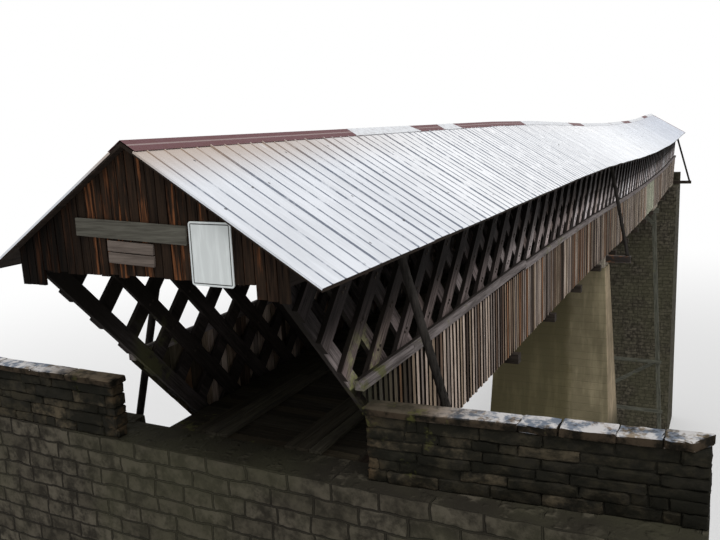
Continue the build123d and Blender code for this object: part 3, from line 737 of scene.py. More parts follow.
def roof_finish(sheet, rib_shade, rust):
    """Weathered bare sheets, a tone for each: bluish at the roof's far end, and paler in its middle with
    painted light.

    Painted shade darkens the ribs' near sides. There is rust below the near ridge, and small dark marks all
    over."""
    finish = Finish("weathered_roof_sheet")
    out = finish.magnitude(finish.y)
    flow = finish.vector(finish.x, finish.times(finish.tone, 4.0), out)
    clouds = finish.noise(flow, 2.0, 4.0, 0.55)
    colour = finish.blend(darker(sheet, 0.9), sheet, finish.span(clouds, 0.3, 0.7))
    colour = finish.blend(colour, DULL_SHEET, finish.tone, 0.12)
    # Painted light makes the middle of the roof paler
    middle = finish.times(finish.from_portal(1.5, 4.0), finish.from_far_end(8.0, 16.0))
    colour = finish.blend(colour, LIT_SHEET, middle, 0.8)
    colour = finish.blend(colour, FAR_SHEET, finish.from_far_end(9.0, 3.0), 0.5)
    colour = finish.blend(colour, SHEET_STAIN, finish.stains(flow, 26.0, 0.38), 0.16)
    # Painted shade on the near side of every rib, fading away from the portal
    shaded_rib_side = finish.span(finish.facing[0], -0.3, -0.6)
    broken = finish.span(finish.noise(flow, 7.0, 3.0), 0.25, 0.5)
    reach = finish.times(finish.from_portal(15.0, 3.0), finish.from_portal(0.02, 0.06))
    colour = finish.blend(colour, rib_shade, shaded_rib_side, broken, reach)
    colour = finish.blend(colour, FAR_EDGE_RUST, finish.from_far_end(0.3, 0.2))
    by_portal = finish.linear(finish.from_portal(4.5, 0.5), 0.55, 0.05)
    rusty = finish.times(finish.stains(flow, 17.0, 0.62), finish.span(out, 0.5, 0.08), by_portal)
    colour = finish.blend(colour, rust, rusty)
    flat = {"Vector": finish.vector(finish.x, out), "Scale": 2.3}
    spots = finish.add("TexVoronoi", flat, voronoi_dimensions="2D").outputs["Distance"]
    colour = finish.blend(colour, SHEET_MARK, finish.span(spots, 0.026, 0.016), 0.8)
    roughness = finish.plus(finish.linear(clouds, 0.2, 0.5), finish.times(rusty, 0.25))
    return finish.done(colour, roughness, clouds, 0.003, 0.4, gloss=0.3)


def cap_finish(name, base, worn, amount, fold_highlight=0.0):
    """Sheet of the ridge cap, with patches of its other colour, and pale lines of painted highlight along its
    folds.
    """
    finish = Finish(name)
    patches = finish.patches(finish.scaled(finish.place, (0.6, 2.0, 2.0)), 3.0, amount)
    fine = finish.noise(finish.place, 22.0)
    colour = finish.blend(base, worn, patches)
    colour = finish.blend(colour, CAP_DIRT, finish.span(fine, 0.4, 0.7), 0.3)
    if fold_highlight:
        # Painted highlight along the folds
        from_fold = finish.magnitude(finish.minus(finish.magnitude(finish.y), 0.05))
        colour = finish.blend(colour, CAP_FOLD_HIGHLIGHT, finish.span(from_fold, 0.009, 0.004), fold_highlight)
    roughness = finish.linear(fine, 0.25, 0.5)
    return finish.done(colour, roughness, fine, 0.002, 0.5, gloss=0.2)


def gable_finish(light, dark, rust):
    """Dark upright gable boards with runs of rust-coloured stain. Painted shade makes them darker towards the
    left.
    """
    finish = Finish("dark_gable_boards")
    grain = finish.grain(finish.turned("ZYX"), finish.tone, light, dark, 0.8)
    streaky = finish.vector(finish.times(finish.tone, 9.0), finish.y, finish.times(finish.z, 0.5))
    # Painted light, brighter towards the right; the rust runs show most where it is brightest
    daylight = finish.linear(finish.span(finish.y, 0.8, 0.2), 0.8, 0.15)
    rusty = finish.times(finish.stains(streaky, 42.0, 0.27), daylight, finish.span(finish.tone, 0.2, 0.8))
    colour = finish.blend(finish.lit(grain["Color"], daylight), rust, rusty)
    return finish.done(colour, grain["Roughness"], grain["Height"], 0.003)


def sign_finish(name, colour, wear):
    """Satin paint on sheet metal, a little dirty."""
    finish = Finish(name)
    dirt = finish.stains(finish.place, 22.0, wear)
    shade = finish.blend(colour, darker(colour, 0.55), dirt, 0.3)
    return finish.done(shade, 0.38, dirt, 0.0005, 0.3, gloss=0.5)


def steel_finish(flange, web):
    """Rusted rolled steel."""
    finish = Finish("rusted_steel_beam")
    patches = finish.patches(finish.place, 9.0, 0.55)
    colour = finish.blend(web, flange, patches)
    roughness = finish.linear(patches, 0.25, 0.55)
    return finish.done(colour, roughness, patches, 0.002, 0.6, gloss=0.5, metallic=0.2)


def concrete_finish(light, dark, end_face, board_height):
    """Board-marked concrete, dark on one part of the near face, and cream on the ends, darker towards their
    foot.
    """
    finish = Finish("board_marked_concrete")
    course = finish.maths("DIVIDE", finish.z, board_height)
    from_middle = finish.magnitude(finish.minus(finish.maths("FRACT", course), 0.5))
    joint = finish.span(from_middle, 0.42, 0.5)
    board = finish.random(finish.maths("FLOOR", course))
    clouds = finish.noise(finish.place, 0.9, 6.0, 0.62)
    grit = finish.noise(finish.place, 60.0, 3.0)
    tone = finish.plus(finish.times(clouds, 0.95), finish.times(board, 0.05))
    wander = finish.times(finish.minus(clouds, 0.5), 0.7)
    # Darker on one part of the near face
    damp = finish.span(finish.plus(finish.y, wander), -0.5, -0.28)
    colour = finish.blend(darker(light, 0.62), light, finish.span(tone, 0.3, 0.7))
    colour = finish.blend(colour, dark, damp, 0.85)
    # The ends darken towards their foot
    low = finish.span(finish.plus(finish.z, wander), 7.3, 6.4)
    end_colour = finish.blend(darker(end_face, 0.6), end_face, finish.span(tone, 0.3, 0.65))
    end_colour = finish.blend(end_colour, darker(dark, 0.3), low)
    colour = finish.blend(colour, end_colour, finish.span(finish.magnitude(finish.facing[1]), 0.5, 0.7))
    colour = finish.blend(colour, darker(dark, 0.5), finish.stains(finish.place, 5.0, 0.42), 0.4)
    colour = finish.blend(colour, darker(dark, 0.5), joint, 0.16)
    height = finish.minus(finish.times(finish.plus(grit, board), 0.3), finish.times(joint, 0.5))
    return finish.done(colour, 0.85, height, 0.005)


def cap_slab_wear(finish, colour, moved, mottle, bleached):
    """Cap slabs are dark by the road on the right, crusted and pale further out, with dark sides."""
    dark_end = finish.times(finish.span(finish.y, -1.75, -1.35), finish.span(finish.y, 0.5, 0.0))
    colour = finish.blend(colour, DARK_SLAB, dark_end, 0.85)
    crust = finish.blend(*CRUST, finish.span(mottle, 0.42, 0.55))
    outer_part = finish.span(finish.magnitude(finish.y), 1.5, 2.0)
    colour = finish.blend(colour, crust, finish.patches(moved, 5.0, 0.78), outer_part, bleached)
    side_colour = finish.blend(*SLAB_SIDE, finish.span(mottle, 0.4, 0.6))
    return finish.blend(colour, side_colour, finish.span(finish.facing[2], 0.8, 0.5))


def stone_finish(name, tones, moss, bleached=0.0):
    """Separate stones under moss, tinted by the tone that each carries and warmer near the road.

    A bleached finish is for cap slabs. The others lie under grime."""
    finish = Finish(name)
    moved = finish.moved(finish.place, (5.0, 7.0, 3.0), finish.tone)
    out = finish.magnitude(finish.y)
    mottle = finish.noise(moved, 9.0, 8.0, 0.65)
    colour = finish.pick(finish.tone, tones, "LINEAR")
    colour = finish.blend(colour, STONE_PITS, finish.span(mottle, 0.62, 0.34))
    by_road = finish.span(out, 1.25, 1.05)
    colour = finish.blend(colour, WARM_STONE, by_road, finish.span(mottle, 0.4, 0.6), 0.4)
    if bleached:
        colour = cap_slab_wear(finish, colour, moved, mottle, bleached)
    else:
        grime = finish.noise(finish.scaled(finish.place, (1.0, 1.0, 1.7)), 2.6, 6.0, 0.7)
        colour = finish.blend(colour, GRIME, finish.span(grime, 0.4, 0.56), 0.85)
    growth = finish.linear(finish.span(out, 1.9, 1.5), 0.15, moss)
    colour = finish.blend(colour, STONE_MOSS, finish.patches(finish.place, 5.0, growth), 0.6)
    return finish.done(colour, 0.88, mottle, 0.012)


def masonry_finish(tones, course, length):
    """Coursed rough stone of the abutments, drawn on whichever way each face looks."""
    finish = Finish("coursed_abutment_stone")
    sideways = finish.span(finish.magnitude(finish.facing[1]), 0.45, 0.55)
    ahead = finish.minus(1.0, sideways)
    run = finish.plus(finish.times(finish.x, sideways), finish.times(finish.y, ahead))
    wander = finish.times(finish.minus(finish.noise(finish.place, 4.0, 3.0), 0.5), 0.07)
    bricks = finish.add("TexBrick", {
        "Vector": finish.vector(finish.minus(run, wander), finish.plus(finish.z, wander)),
        "Color1": tones[0], "Color2": tones[1], "Mortar": tones[2],
        "Scale": 1.0, "Mortar Size": 0.012, "Mortar Smooth": 0.8, "Brick Width": length, "Row Height": course,
    }, offset=0.43, squash=0.8, squash_frequency=3).outputs
    mottle = finish.noise(finish.place, 8.0, 7.0, 0.65)
    colour = finish.blend(bricks["Color"], tones[2], finish.span(mottle, 0.65, 0.35))
    broad = finish.noise(finish.place, 0.7, 5.0)
    colour = finish.blend(colour, MASONRY_MOSS, finish.span(broad, 0.4, 0.65), 0.55)
    height = finish.minus(finish.times(mottle, 0.8), bricks["Fac"])
    return finish.done(colour, 0.9, height, 0.02)


# Settings


def colour_property(name, description, default):
    return FloatVectorProperty(
        name=name, description=description, subtype="COLOR", size=3, min=0.0, max=1.0, default=default
    )


def length_property(name, description, default):
    return FloatProperty(name=name, description=description, unit="LENGTH", min=0.0, default=default)


class RoofSettings(bpy.types.PropertyGroup):
    """Sheets of the roof and the cap on its ridge."""

    rib_spacing: length_property("Rib spacing", "Distance between the ribs of the roof sheets", 0.1524)
    rib_height: length_property("Rib height", "How far a rib stands up from its sheet", 0.006)
    lap_height: length_property("Lap height", "How far the rib at a lap of two sheets stands up", 0.01)
    turned_edge: length_property("Turned edge", "How far the sheets turn down over the roof's ends", 0.013)
    rib_width: length_property("Rib width", "Width of a rib at its foot", 0.02)
    first_rib: length_property("First rib", "Distance of the first rib from the near edge", 0.106)
    sheet_thickness: length_property("Sheet thickness", "Thickness of the drawn sheets", 0.0015)
    hidden_by_cap: length_property("Hidden by cap", "How far below the ridge the sheets start", 0.11)
    sheet_colour: colour_property("Sheet", "Weathered bare sheet", (0.79, 0.815, 0.865))
    # Painted shade on the near side of the ribs
    seam_colour: colour_property("Seam", "Dirt on the weather side of the ribs", (0.17, 0.19, 0.235))
    rust_colour: colour_property("Rust", "Rust on the sheets", (0.33, 0.19, 0.075))
    maroon_cap_colour: colour_property("Maroon cap", "Dull lengths of the ridge cap", (0.125, 0.055, 0.062))
    bright_cap_colour: colour_property("Bright cap", "Newer lengths of the ridge cap", (0.72, 0.74, 0.77))


class TimberSettings(bpy.types.PropertyGroup):
    """Boards, planks and pegs."""

    side_board_pitch: length_property("Side board pitch", "From one side board to the next", 0.087)
    side_board_gap: length_property("Side board gap", "Gap between the right side's boards", 0.042)
    sheltered_gap: length_property("Sheltered board gap", "Gap between the left side's boards", 0.003)
    gable_board_pitch: length_property("Gable board pitch", "From one gable board to the next", 0.074)
    gable_board_gap: length_property("Gable board gap", "Gap between gable boards", 0.008)
    deck_plank_pitch: length_property("Deck plank pitch", "From one deck plank to the next", 0.105)
    deck_plank_gap: length_property("Deck plank gap", "Gap between deck planks", 0.005)
    peg_radius: length_property("Peg radius", "Radius of the pegs through the lattice", 0.011)
    grey_colour: colour_property("Grey timber", "Light tone of weathered grey timber", (0.23, 0.195, 0.19))
    brown_colour: colour_property("Brown timber", "Light tone of sheltered timber", (0.05, 0.034, 0.024))
    dark_colour: colour_property("Dark timber", "Dark tone of all timber", (0.014, 0.011, 0.009))
    gable_colour: colour_property("Gable timber", "Light tone of the gable boards", (0.036, 0.022, 0.014))
    gable_dark_colour: colour_property("Dark gable", "Dark tone of the gable boards", (0.004, 0.003, 0.0025))
    board_rust_colour: colour_property("Board rust", "Rusty streaks on the gable boards", (0.2, 0.075, 0.03))


class StoneSettings(bpy.types.PropertyGroup):
    """Stones of the parapets and abutments, and the pier's concrete."""

    course_height: length_property("Course height", "Height of a course of the parapets", 0.08)
    stone_length: length_property("Stone length", "Usual length of a stone of the parapets", 0.2)
    joint: length_property("Joint", "Gap between stones", 0.005)
    abutment_course: length_property("Abutment course", "Height of a course of the abutments", 0.14)
    abutment_stone: length_property("Abutment stone", "Length of a stone of the abutments", 0.36)
    board_mark: length_property("Board mark", "Height of one board's mark on the pier", 0.15)
    concrete_colour: colour_property("Concrete", "Light tone of the pier", (0.27, 0.23, 0.145))
    concrete_dark_colour: colour_property("Damp concrete", "Dark part of the pier", (0.095, 0.082, 0.042))
    concrete_end_colour: colour_property("End concrete", "Dry ends of the pier", (0.36, 0.285, 0.19))


class StageSettings(bpy.types.PropertyGroup):
    """Camera, floor and light."""

    lens: FloatProperty(
        name="Lens", description="Focal length in millimetres on a 36 mm wide frame", min=10.0, default=36.66
    )
    camera_place: FloatVectorProperty(
        name="Camera place", description="Where the camera stands", subtype="XYZ", unit="LENGTH",
        default=(-18.275, -3.245, 12.87),
    )
    camera_yaw: FloatProperty(
        name="Yaw", description="Turn of the view to the left of the bridge's line", subtype="ANGLE",
        default=radians(27.35),
    )
    camera_pitch: FloatProperty(
        name="Pitch", description="How far the view looks down", subtype="ANGLE", default=radians(10.99)
    )
    camera_roll: FloatProperty(
        name="Roll", description="Turn of the frame about the view", subtype="ANGLE", default=radians(-2.74)
    )
    sun_strength: FloatProperty(
        name="Sun strength", description="Strength of the soft main lamp", min=0.0, default=1.9
    )
    sky_strength: FloatProperty(
        name="Sky strength", description="Strength of the even light", min=0.0, default=0.5
    )


class BridgeSettings(bpy.types.PropertyGroup):
    """All settings of the bridge's dressing."""

    seed: IntProperty(name="Seed", description="Start of the random choices", default=7)
    roof: PointerProperty(type=RoofSettings)
    timber: PointerProperty(type=TimberSettings)
    stone: PointerProperty(type=StoneSettings)
    stage: PointerProperty(type=StageSettings)


# Roof


def sheet_profile(x0, x1, ribs, laps, roof):
    """Points (x, lift) across one sheet, from lap to lap, with its ribs. It turns down at the roof's ends."""
    points = []
    for rib in ribs:
        height = roof.lap_height if rib in laps else roof.rib_height
        foot, top = roof.rib_width / 2, roof.rib_width / 5
        points += [(rib - foot, 0.0), (rib - top, height), (rib + top, height), (rib + foot, 0.0)]
    points = [(x, lift) for x, lift in points if x0 < x < x1]
    points = [(x0, 0.0)] + points + [(x1, 0.0)]
    if x0 < NEAR_X + CLOSE:
        points = [(x0 - END_OVERHANG, -roof.turned_edge), (x0 - END_OVERHANG, 0.0)] + points
    if x1 > FAR_X - CLOSE:
        points = points + [(x1 + END_OVERHANG, 0.0), (x1 + END_OVERHANG, -roof.turned_edge)]
    return points


def add_sheet(bm, side, profile, lift, overhang, hidden, tone):
    """One ribbed sheet on one slope, from under the ridge cap, which hides the slope's top, to the eave."""
    across = Vector((0, ROOF_SLOPE * side, 1.0)).normalized()
    down = Vector((0, side, -ROOF_SLOPE)).normalized()
    length = ROOF_HALF_WIDTH * SLOPE_STRETCH + overhang - hidden
    top = Vector((0, 0, RIDGE_Z)) + down * hidden
    ridge = [bm.verts.new(top + Vector((x, 0, 0)) + across * (rise + lift)) for x, rise in profile]
    row = [bm.edges.new(pair) for pair in zip(ridge, ridge[1:])]
    made = list(ridge)
    strips = 3
    for _ in range(strips):
        grown = bmesh.ops.extrude_edge_only(bm, edges=row)["geom"]
        verts = verts_in(grown)
        row = [edge for edge in edges_in(grown) if set(edge.verts) <= set(verts)]
        bmesh.ops.translate(bm, verts=verts, vec=down * length / strips)
        made += verts
    paint(bm, made, tone)


def make_roof_sheets(side, name, settings, finish):
    """Sheets side by side along the roof, each lapped over the last at a taller rib."""
    roof = settings.roof
    rng = Random(settings.seed + 10 * side)
    bm = bmesh.new()
    bm.faces.layers.float.new("tone")
    count = int((FAR_X - NEAR_X - roof.first_rib) / roof.rib_spacing) + 1
    ribs = [NEAR_X + roof.first_rib + i * roof.rib_spacing for i in range(count)]
    laps = [ribs[i] for i in FIRST_LAPS + list(range(EVEN_LAPS_FROM, count - 1, LAP_EVERY))]
    edges = [NEAR_X] + laps + [FAR_X]
    for i, (start, end) in enumerate(zip(edges, edges[1:])):
        x0 = max(start - roof.rib_width / 2, NEAR_X)
        x1 = min(end + roof.rib_width / 2, FAR_X)
        own_ribs = [rib for rib in ribs if start - CLOSE <= rib <= end + CLOSE]
        profile = sheet_profile(x0, x1, own_ribs, laps, roof)
        lift = SHEET_LIFT + LAP_LIFT * (i % 2)
        overhang = rng.uniform(*EAVE_OVERHANG)
        add_sheet(bm, side, profile, lift, overhang, roof.hidden_by_cap, rng.random())
    hang_sheet(bm, roof.sheet_thickness)
    finish_piece(bm, name, [finish])


class BRIDGE_OT_roof(bpy.types.Operator):
    """Lay the ribbed sheets on both slopes, over the boards that carry them"""

    bl_idname = "bridge.roof"
    bl_label = "Roof sheets"

    def execute(self, context):
        settings = context.scene.bridge
        roof = settings.roof
        finish = roof_finish(roof.sheet_colour, roof.seam_colour, roof.rust_colour)
        boards = timber_finish("roof_boards", (0.03, 0.021, 0.016), settings.timber.dark_colour)
        for side, hand in SIDES:
            make_roof_sheets(side, hand + "_roof_sheets", settings, finish)
            dress(boards, hand + "_roof")
        return {"FINISHED"}


def add_cap_length(bm, x0, x1, lift, slant, finish_number):
    """One folded length of ridge cap. Its far end is cut on the slant."""
    low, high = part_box("rusted_ridge_cap")
    reach = (high.y - low.y) / 2 - END_OVERHANG
    for side in (-1, 1):
        verts = [bm.verts.new((x, 0.0, RIDGE_Z + CAP_RISE + lift)) for x in (x0, (x0 + x1) / 2, x1)]
        row = [bm.edges.new(pair) for pair in zip(verts, verts[1:])]
        edge = verts_in(bmesh.ops.extrude_edge_only(bm, edges=row)["geom"])
        bmesh.ops.translate(bm, verts=edge, vec=(0, side * reach, -ROOF_SLOPE * reach))
        max(edge, key=lambda v: v.co.x).co.x += slant
        for face in {f for v in verts for f in v.link_faces}:
            face.material_index = finish_number


class BRIDGE_OT_ridge(bpy.types.Operator):
    """Fold the lengths of cap along the ridge, some of them maroon and some bright"""

    bl_idname = "bridge.ridge"
    bl_label = "Ridge cap"

    def execute(self, context):
        roof = context.scene.bridge.roof
        maroon = cap_finish("maroon_ridge_cap", roof.maroon_cap_colour, (0.17, 0.1, 0.09), 0.25, fold_highlight=0.7)
        bright = cap_finish("bright_ridge_cap", roof.bright_cap_colour, (0.5, 0.46, 0.47), 0.3)
        ends = [start for start, _ in CAP_LENGTHS[1:]] + [FAR_X - NEAR_X]
        lengths = [(NEAR_X + start, NEAR_X + end, dull) for (start, dull), end in zip(CAP_LENGTHS, ends)]
        for node, slot in (("rusted_ridge_cap", "rusted_sheet"), ("bright_ridge_cap", "bright_sheet")):
            low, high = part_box(node)
            bm = bmesh.new()
            for i, (x0, x1, dull) in enumerate(lengths):
                if low.x - 0.05 < (x0 + x1) / 2 < high.x + 0.05:
                    slant = CAP_SLANT if x1 < FAR_X - 0.2 else 0.0
                    add_cap_length(bm, x0, x1, CAP_STEP * (i % 2), slant, 0 if dull else 1)
            bmesh.ops.remove_doubles(bm, verts=bm.verts, dist=0.0001)
            hang_sheet(bm, roof.sheet_thickness)
            finish_piece(bm, node + "_sheets", [maroon, bright], [node])
        return {"FINISHED"}


# Gables


def make_gable(node, settings, finish):
    """Upright boards cut to the roof's slope, longer over the trusses' ends."""
    timber = settings.timber
    low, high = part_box(node)
    low_z, _ = straight(node)
    corners = [(abs(v.co.y), round(v.co.z + drop(v.co.x), 3)) for v in NODES[node].data.vertices]
    main_z = sorted({z for _, z in corners})[1]
    drop_inner = max(y for y, z in corners if abs(z - main_z) < 0.002)
    half = high.y
    rng = Random(settings.seed + round(high.x))
    count = round(2 * half / timber.gable_board_pitch)
    pitch = 2 * half / count
    bm = bmesh.new()
    for i in range(count):
        y0 = -half + i * pitch + timber.gable_board_gap / 2
        y1 = -half + (i + 1) * pitch - timber.gable_board_gap / 2
        middle = abs(y0 + y1) / 2
        foot = low_z if middle > drop_inner else main_z
        foot += rng.uniform(*GABLE_FOOT)
        shift = rng.uniform(*GABLE_FACE)
        verts = add_box(bm, (low.x + shift, y0, foot), (high.x + shift, y1, foot + 1.0), rng.random())
        for vertex in verts:
            if vertex.co.z > foot + 0.5:
                vertex.co.z = RIDGE_Z - ROOF_SLAB - abs(vertex.co.y) * ROOF_SLOPE - GABLE_GAP
    hang(bm)
    finish_piece(bm, node + "_boards", [finish], [node])


class BRIDGE_OT_gables(bpy.types.Operator):
    """Nail up the dark boards of both gables"""

    bl_idname = "bridge.gables"
    bl_label = "Gable boards"

    def execute(self, context):
        settings = context.scene.bridge
        timber = settings.timber
        finish = gable_finish(timber.gable_colour, timber.gable_dark_colour, timber.board_rust_colour)
        for node in ("near_gable", "far_gable"):
            make_gable(node, settings, finish)
        return {"FINISHED"}


class BRIDGE_OT_signs(bpy.types.Operator):
    """Finish the bare boards and the plain white sign on the near gable"""

    bl_idname = "bridge.signs"
    bl_label = "Boards and sign"

    def execute(self, context):
        smooth = {"order": "YXZ", "cracks": 0.3, "relief": GRAIN_RELIEF / 2}
        grey = timber_finish("bare_name_board", (0.125, 0.12, 0.1), (0.045, 0.042, 0.034), **smooth)
        tan = timber_finish("bare_small_board", (0.17, 0.14, 0.12), (0.06, 0.047, 0.04), **smooth)
        for node, finish in (("name_board", grey), ("small_boards", tan)):
            bm = copy_of(node)
            soften(bm, 0.003)
            finish_piece(bm, node + "_worn", [finish], [node])
        self.make_sign()
        return {"FINISHED"}

    def make_sign(self):
        """The sign's plate, with a thin dark line set in from its edge."""
        white = sign_finish("white_sign_paint", (0.72, 0.76, 0.755), 0.45)
        black = sign_finish("black_sign_paint", (0.02, 0.022, 0.022), 0.3)
        bm = copy_of("plain_sign")
        face = min(bm.faces, key=lambda f: f.calc_center_median().x - f.calc_area())
        bmesh.ops.inset_region(bm, faces=[face], thickness=SIGN_EDGE, use_even_offset=True)
        line = bmesh.ops.inset_region(bm, faces=[face], thickness=SIGN_LINE, use_even_offset=True)["faces"]
        for part in line:
            part.material_index = 1
        finish_piece(bm, "plain_sign_plate", [white, black], ["plain_sign"])


# Trusses, rail and side boards


def crossings():
    """Where the planks of the two layers cross, as (x, z) on the straight line."""
    count = int((FAR_X - NEAR_X) / LATTICE_SPACING)
    for i in range(count):
        inner = NEAR_X + FIRST_PLANK + i * LATTICE_SPACING
        for j in range(count):
            outer = FAR_X - FIRST_PLANK - j * LATTICE_SPACING
            level = PLANK_MIDDLE_LEVEL + (inner - outer) / (2 * LATTICE_RUN)
            yield (inner + outer) / 2, EAVE_Z + level


def make_pegs(side, name, settings, finish):
    """A pair of peg ends at every crossing, on each face that no chord, rail or board covers."""
    low_end = straight("right_lower_chord")[1] + PEG_CHORD_GAP
    high_end = straight("right_top_chord")[0] - PEG_CHORD_GAP
    covered = straight("right_rail")[1] + PEG_RAIL_GAP
    turn = Matrix.Rotation(pi / 2, 4, "X")
    radius = settings.timber.peg_radius
    bm = bmesh.new()
    for x, z in crossings():
        rake = NEAR_X + RAKE_TOP_STATION + (EAVE_Z - z) * LATTICE_RUN + PEG_RAKE_GAP
        if not rake < x < -rake or not low_end < z < high_end:
            continue
        faces = [LATTICE_MIDDLE - PLANK_THICKNESS - PEG_STAND]
        if z > covered:
            faces.append(LATTICE_MIDDLE + PLANK_THICKNESS + PEG_STAND)
        for shift in (-PEG_SHIFT, PEG_SHIFT):
            for face in faces:
                place = Matrix.Translation((x + shift, side * face, z + shift * PEG_CLIMB)) @ turn
                bmesh.ops.create_cone(bm, cap_ends=True, segments=PEG_SIDES, radius1=radius, radius2=radius,
                                      depth=PEG_DEPTH, matrix=place)
    hang(bm)
    finish_piece(bm, name, [finish])


class BRIDGE_OT_trusses(bpy.types.Operator):
    """Finish the lattice and chords, and drive the pegs"""

    bl_idname = "bridge.trusses"
    bl_label = "Trusses"

    def execute(self, context):
        settings = context.scene.bridge
        timber = settings.timber
        grey, dark = timber.grey_colour, timber.dark_colour
        # Painted shade for the lattice planks' faces towards the road and behind the side boards
        inner_shade = (0.009, 0.0075, 0.006)
        chords = timber_finish("chord_planks", (0.035, 0.027, 0.023), dark)
        pegs = timber_finish("peg_ends", (0.05, 0.04, 0.033), dark, "YXZ")
        for side, hand in SIDES:
            planks = lattice_finish(hand + "_lattice_planks", grey, dark, inner_shade, side)
            dress(planks, f"near_{hand}_lattice", f"far_{hand}_lattice")
            dress(chords, hand + "_top_chord", hand + "_lower_chord")
            make_pegs(side, hand + "_pegs", settings, pegs)
        return {"FINISHED"}


def make_rail(node, side, settings, finish, shaded):
    """The rail in its separate lengths, with worn edges. The second length has lifted at its far end.

    The part of its top that lies between the lattice planks carries painted shade from them."""
    rng = Random(settings.seed + 3)
    low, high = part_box(node)
    low_z, high_z = straight(node)
    starts = [low.x + start for start in RAIL_STARTS]
    while starts[-1] < high.x - LONGEST_RAIL:
        starts.append(starts[-1] + rng.uniform(*LATER_RAILS))
    ends = starts[1:] + [high.x]
    bm = bmesh.new()
    for i, (start, end) in enumerate(zip(starts, ends)):
        x0, x1 = start + RAIL_GAP / 2, end - RAIL_GAP / 2
        verts = add_box(bm, (x0, low.y, low_z), (x1, high.y, high_z), rng.random())
        for vertex in verts:
            if abs(vertex.co.x - low.x) < RAIL_GAP:
                vertex.co.x += (high_z - low_z) * LATTICE_RUN
            if abs(vertex.co.x - high.x) < RAIL_GAP:
                vertex.co.x -= (high_z - vertex.co.z) * LATTICE_RUN
            if i == LIFTED_RAIL and vertex.co.x > (start + end) / 2:
                vertex.co.z += RAIL_LIFT
    cut_at_bends(bm)
    corners = [edge for edge in bm.edges if len(edge.link_faces) == 2 and edge.calc_face_angle() > 1.0]
    soften(bm, RAIL_WEAR, corners)
    lattice_face = LATTICE_MIDDLE + 2 * PLANK_THICKNESS
    cut(bm, (0, side * lattice_face, 0), (0, 1, 0))
    # Painted shade on the rail's top between the lattice planks
    for face in bm.faces:
        if face.normal.z > 0.3 and abs(face.calc_center_median().y) < lattice_face:
            face.material_index = 1
    hang(bm)
    finish_piece(bm, node + "_lengths", [finish, shaded], [node])


def make_side_boards(node, side, gap, settings, finish):
    """Narrow upright boards from the rail down past the lower chord, cut to the raked ends."""
    timber = settings.timber
    rng = Random(settings.seed + 5)
    outer = side_of(node)[1]
    low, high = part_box(node)
    low_z, high_z = straight(node)
    pitch = timber.side_board_pitch
    bm = bmesh.new()
    for i in range(int((high.x - low.x) / pitch)):
        width = pitch - gap * rng.uniform(*BOARD_GAP)
        x0 = low.x + i * pitch + (pitch - width) / 2
        foot = low_z + rng.uniform(*BOARD_FOOT)
        stand = outer - rng.uniform(*BOARD_SET_BACK)
        y0, y1 = sorted((side * (stand - BOARD_THICKNESS), side * stand))
        newer = side < 0 and REPLACED_BOARDS[0] < x0 - NEAR_X < REPLACED_BOARDS[1]
        tone = REPLACED_TONE if newer else rng.uniform(*OLD_TONES)
        verts = add_box(bm, (x0, y0, foot), (x0 + width, y1, high_z), tone)
        for vertex in verts:
            if vertex.co.z < (foot + high_z) / 2:
                from_end = min(vertex.co.x - low.x, high.x - vertex.co.x)
                vertex.co.z = max(foot, high_z - max(from_end, 0.0) / LATTICE_RUN)
    hang(bm)
    finish_piece(bm, node + "_boards", [finish], [node])


class BRIDGE_OT_sides(bpy.types.Operator):
    """Fix the rails and the upright side boards"""

    bl_idname = "bridge.sides"
    bl_label = "Rails and side boards"

    def execute(self, context):
        settings = context.scene.bridge
        timber = settings.timber
        rail = timber_finish("rail_lengths", (0.25, 0.22, 0.215), (0.06, 0.05, 0.046), cracks=0.5, moss=0.4)
        shaded = timber_finish("shaded_rail_top", (0.04, 0.034, 0.03), timber.dark_colour, moss=0.3)
        boards = timber_finish(
            "upright_side_boards", (0.4, 0.345, 0.3), (0.12, 0.09, 0.072), "ZXY", 0.7, BOARD_TONES,
            far_light_tint=(1.3, 1.38, 1.42),
        )
        for side, hand in SIDES:
            make_rail(hand + "_rail", side, settings, rail, shaded)
        make_side_boards("right_boarding", -1, timber.side_board_gap, settings, boards)
        make_side_boards("left_boarding", 1, timber.sheltered_gap, settings, boards)
        return {"FINISHED"}


# Floor


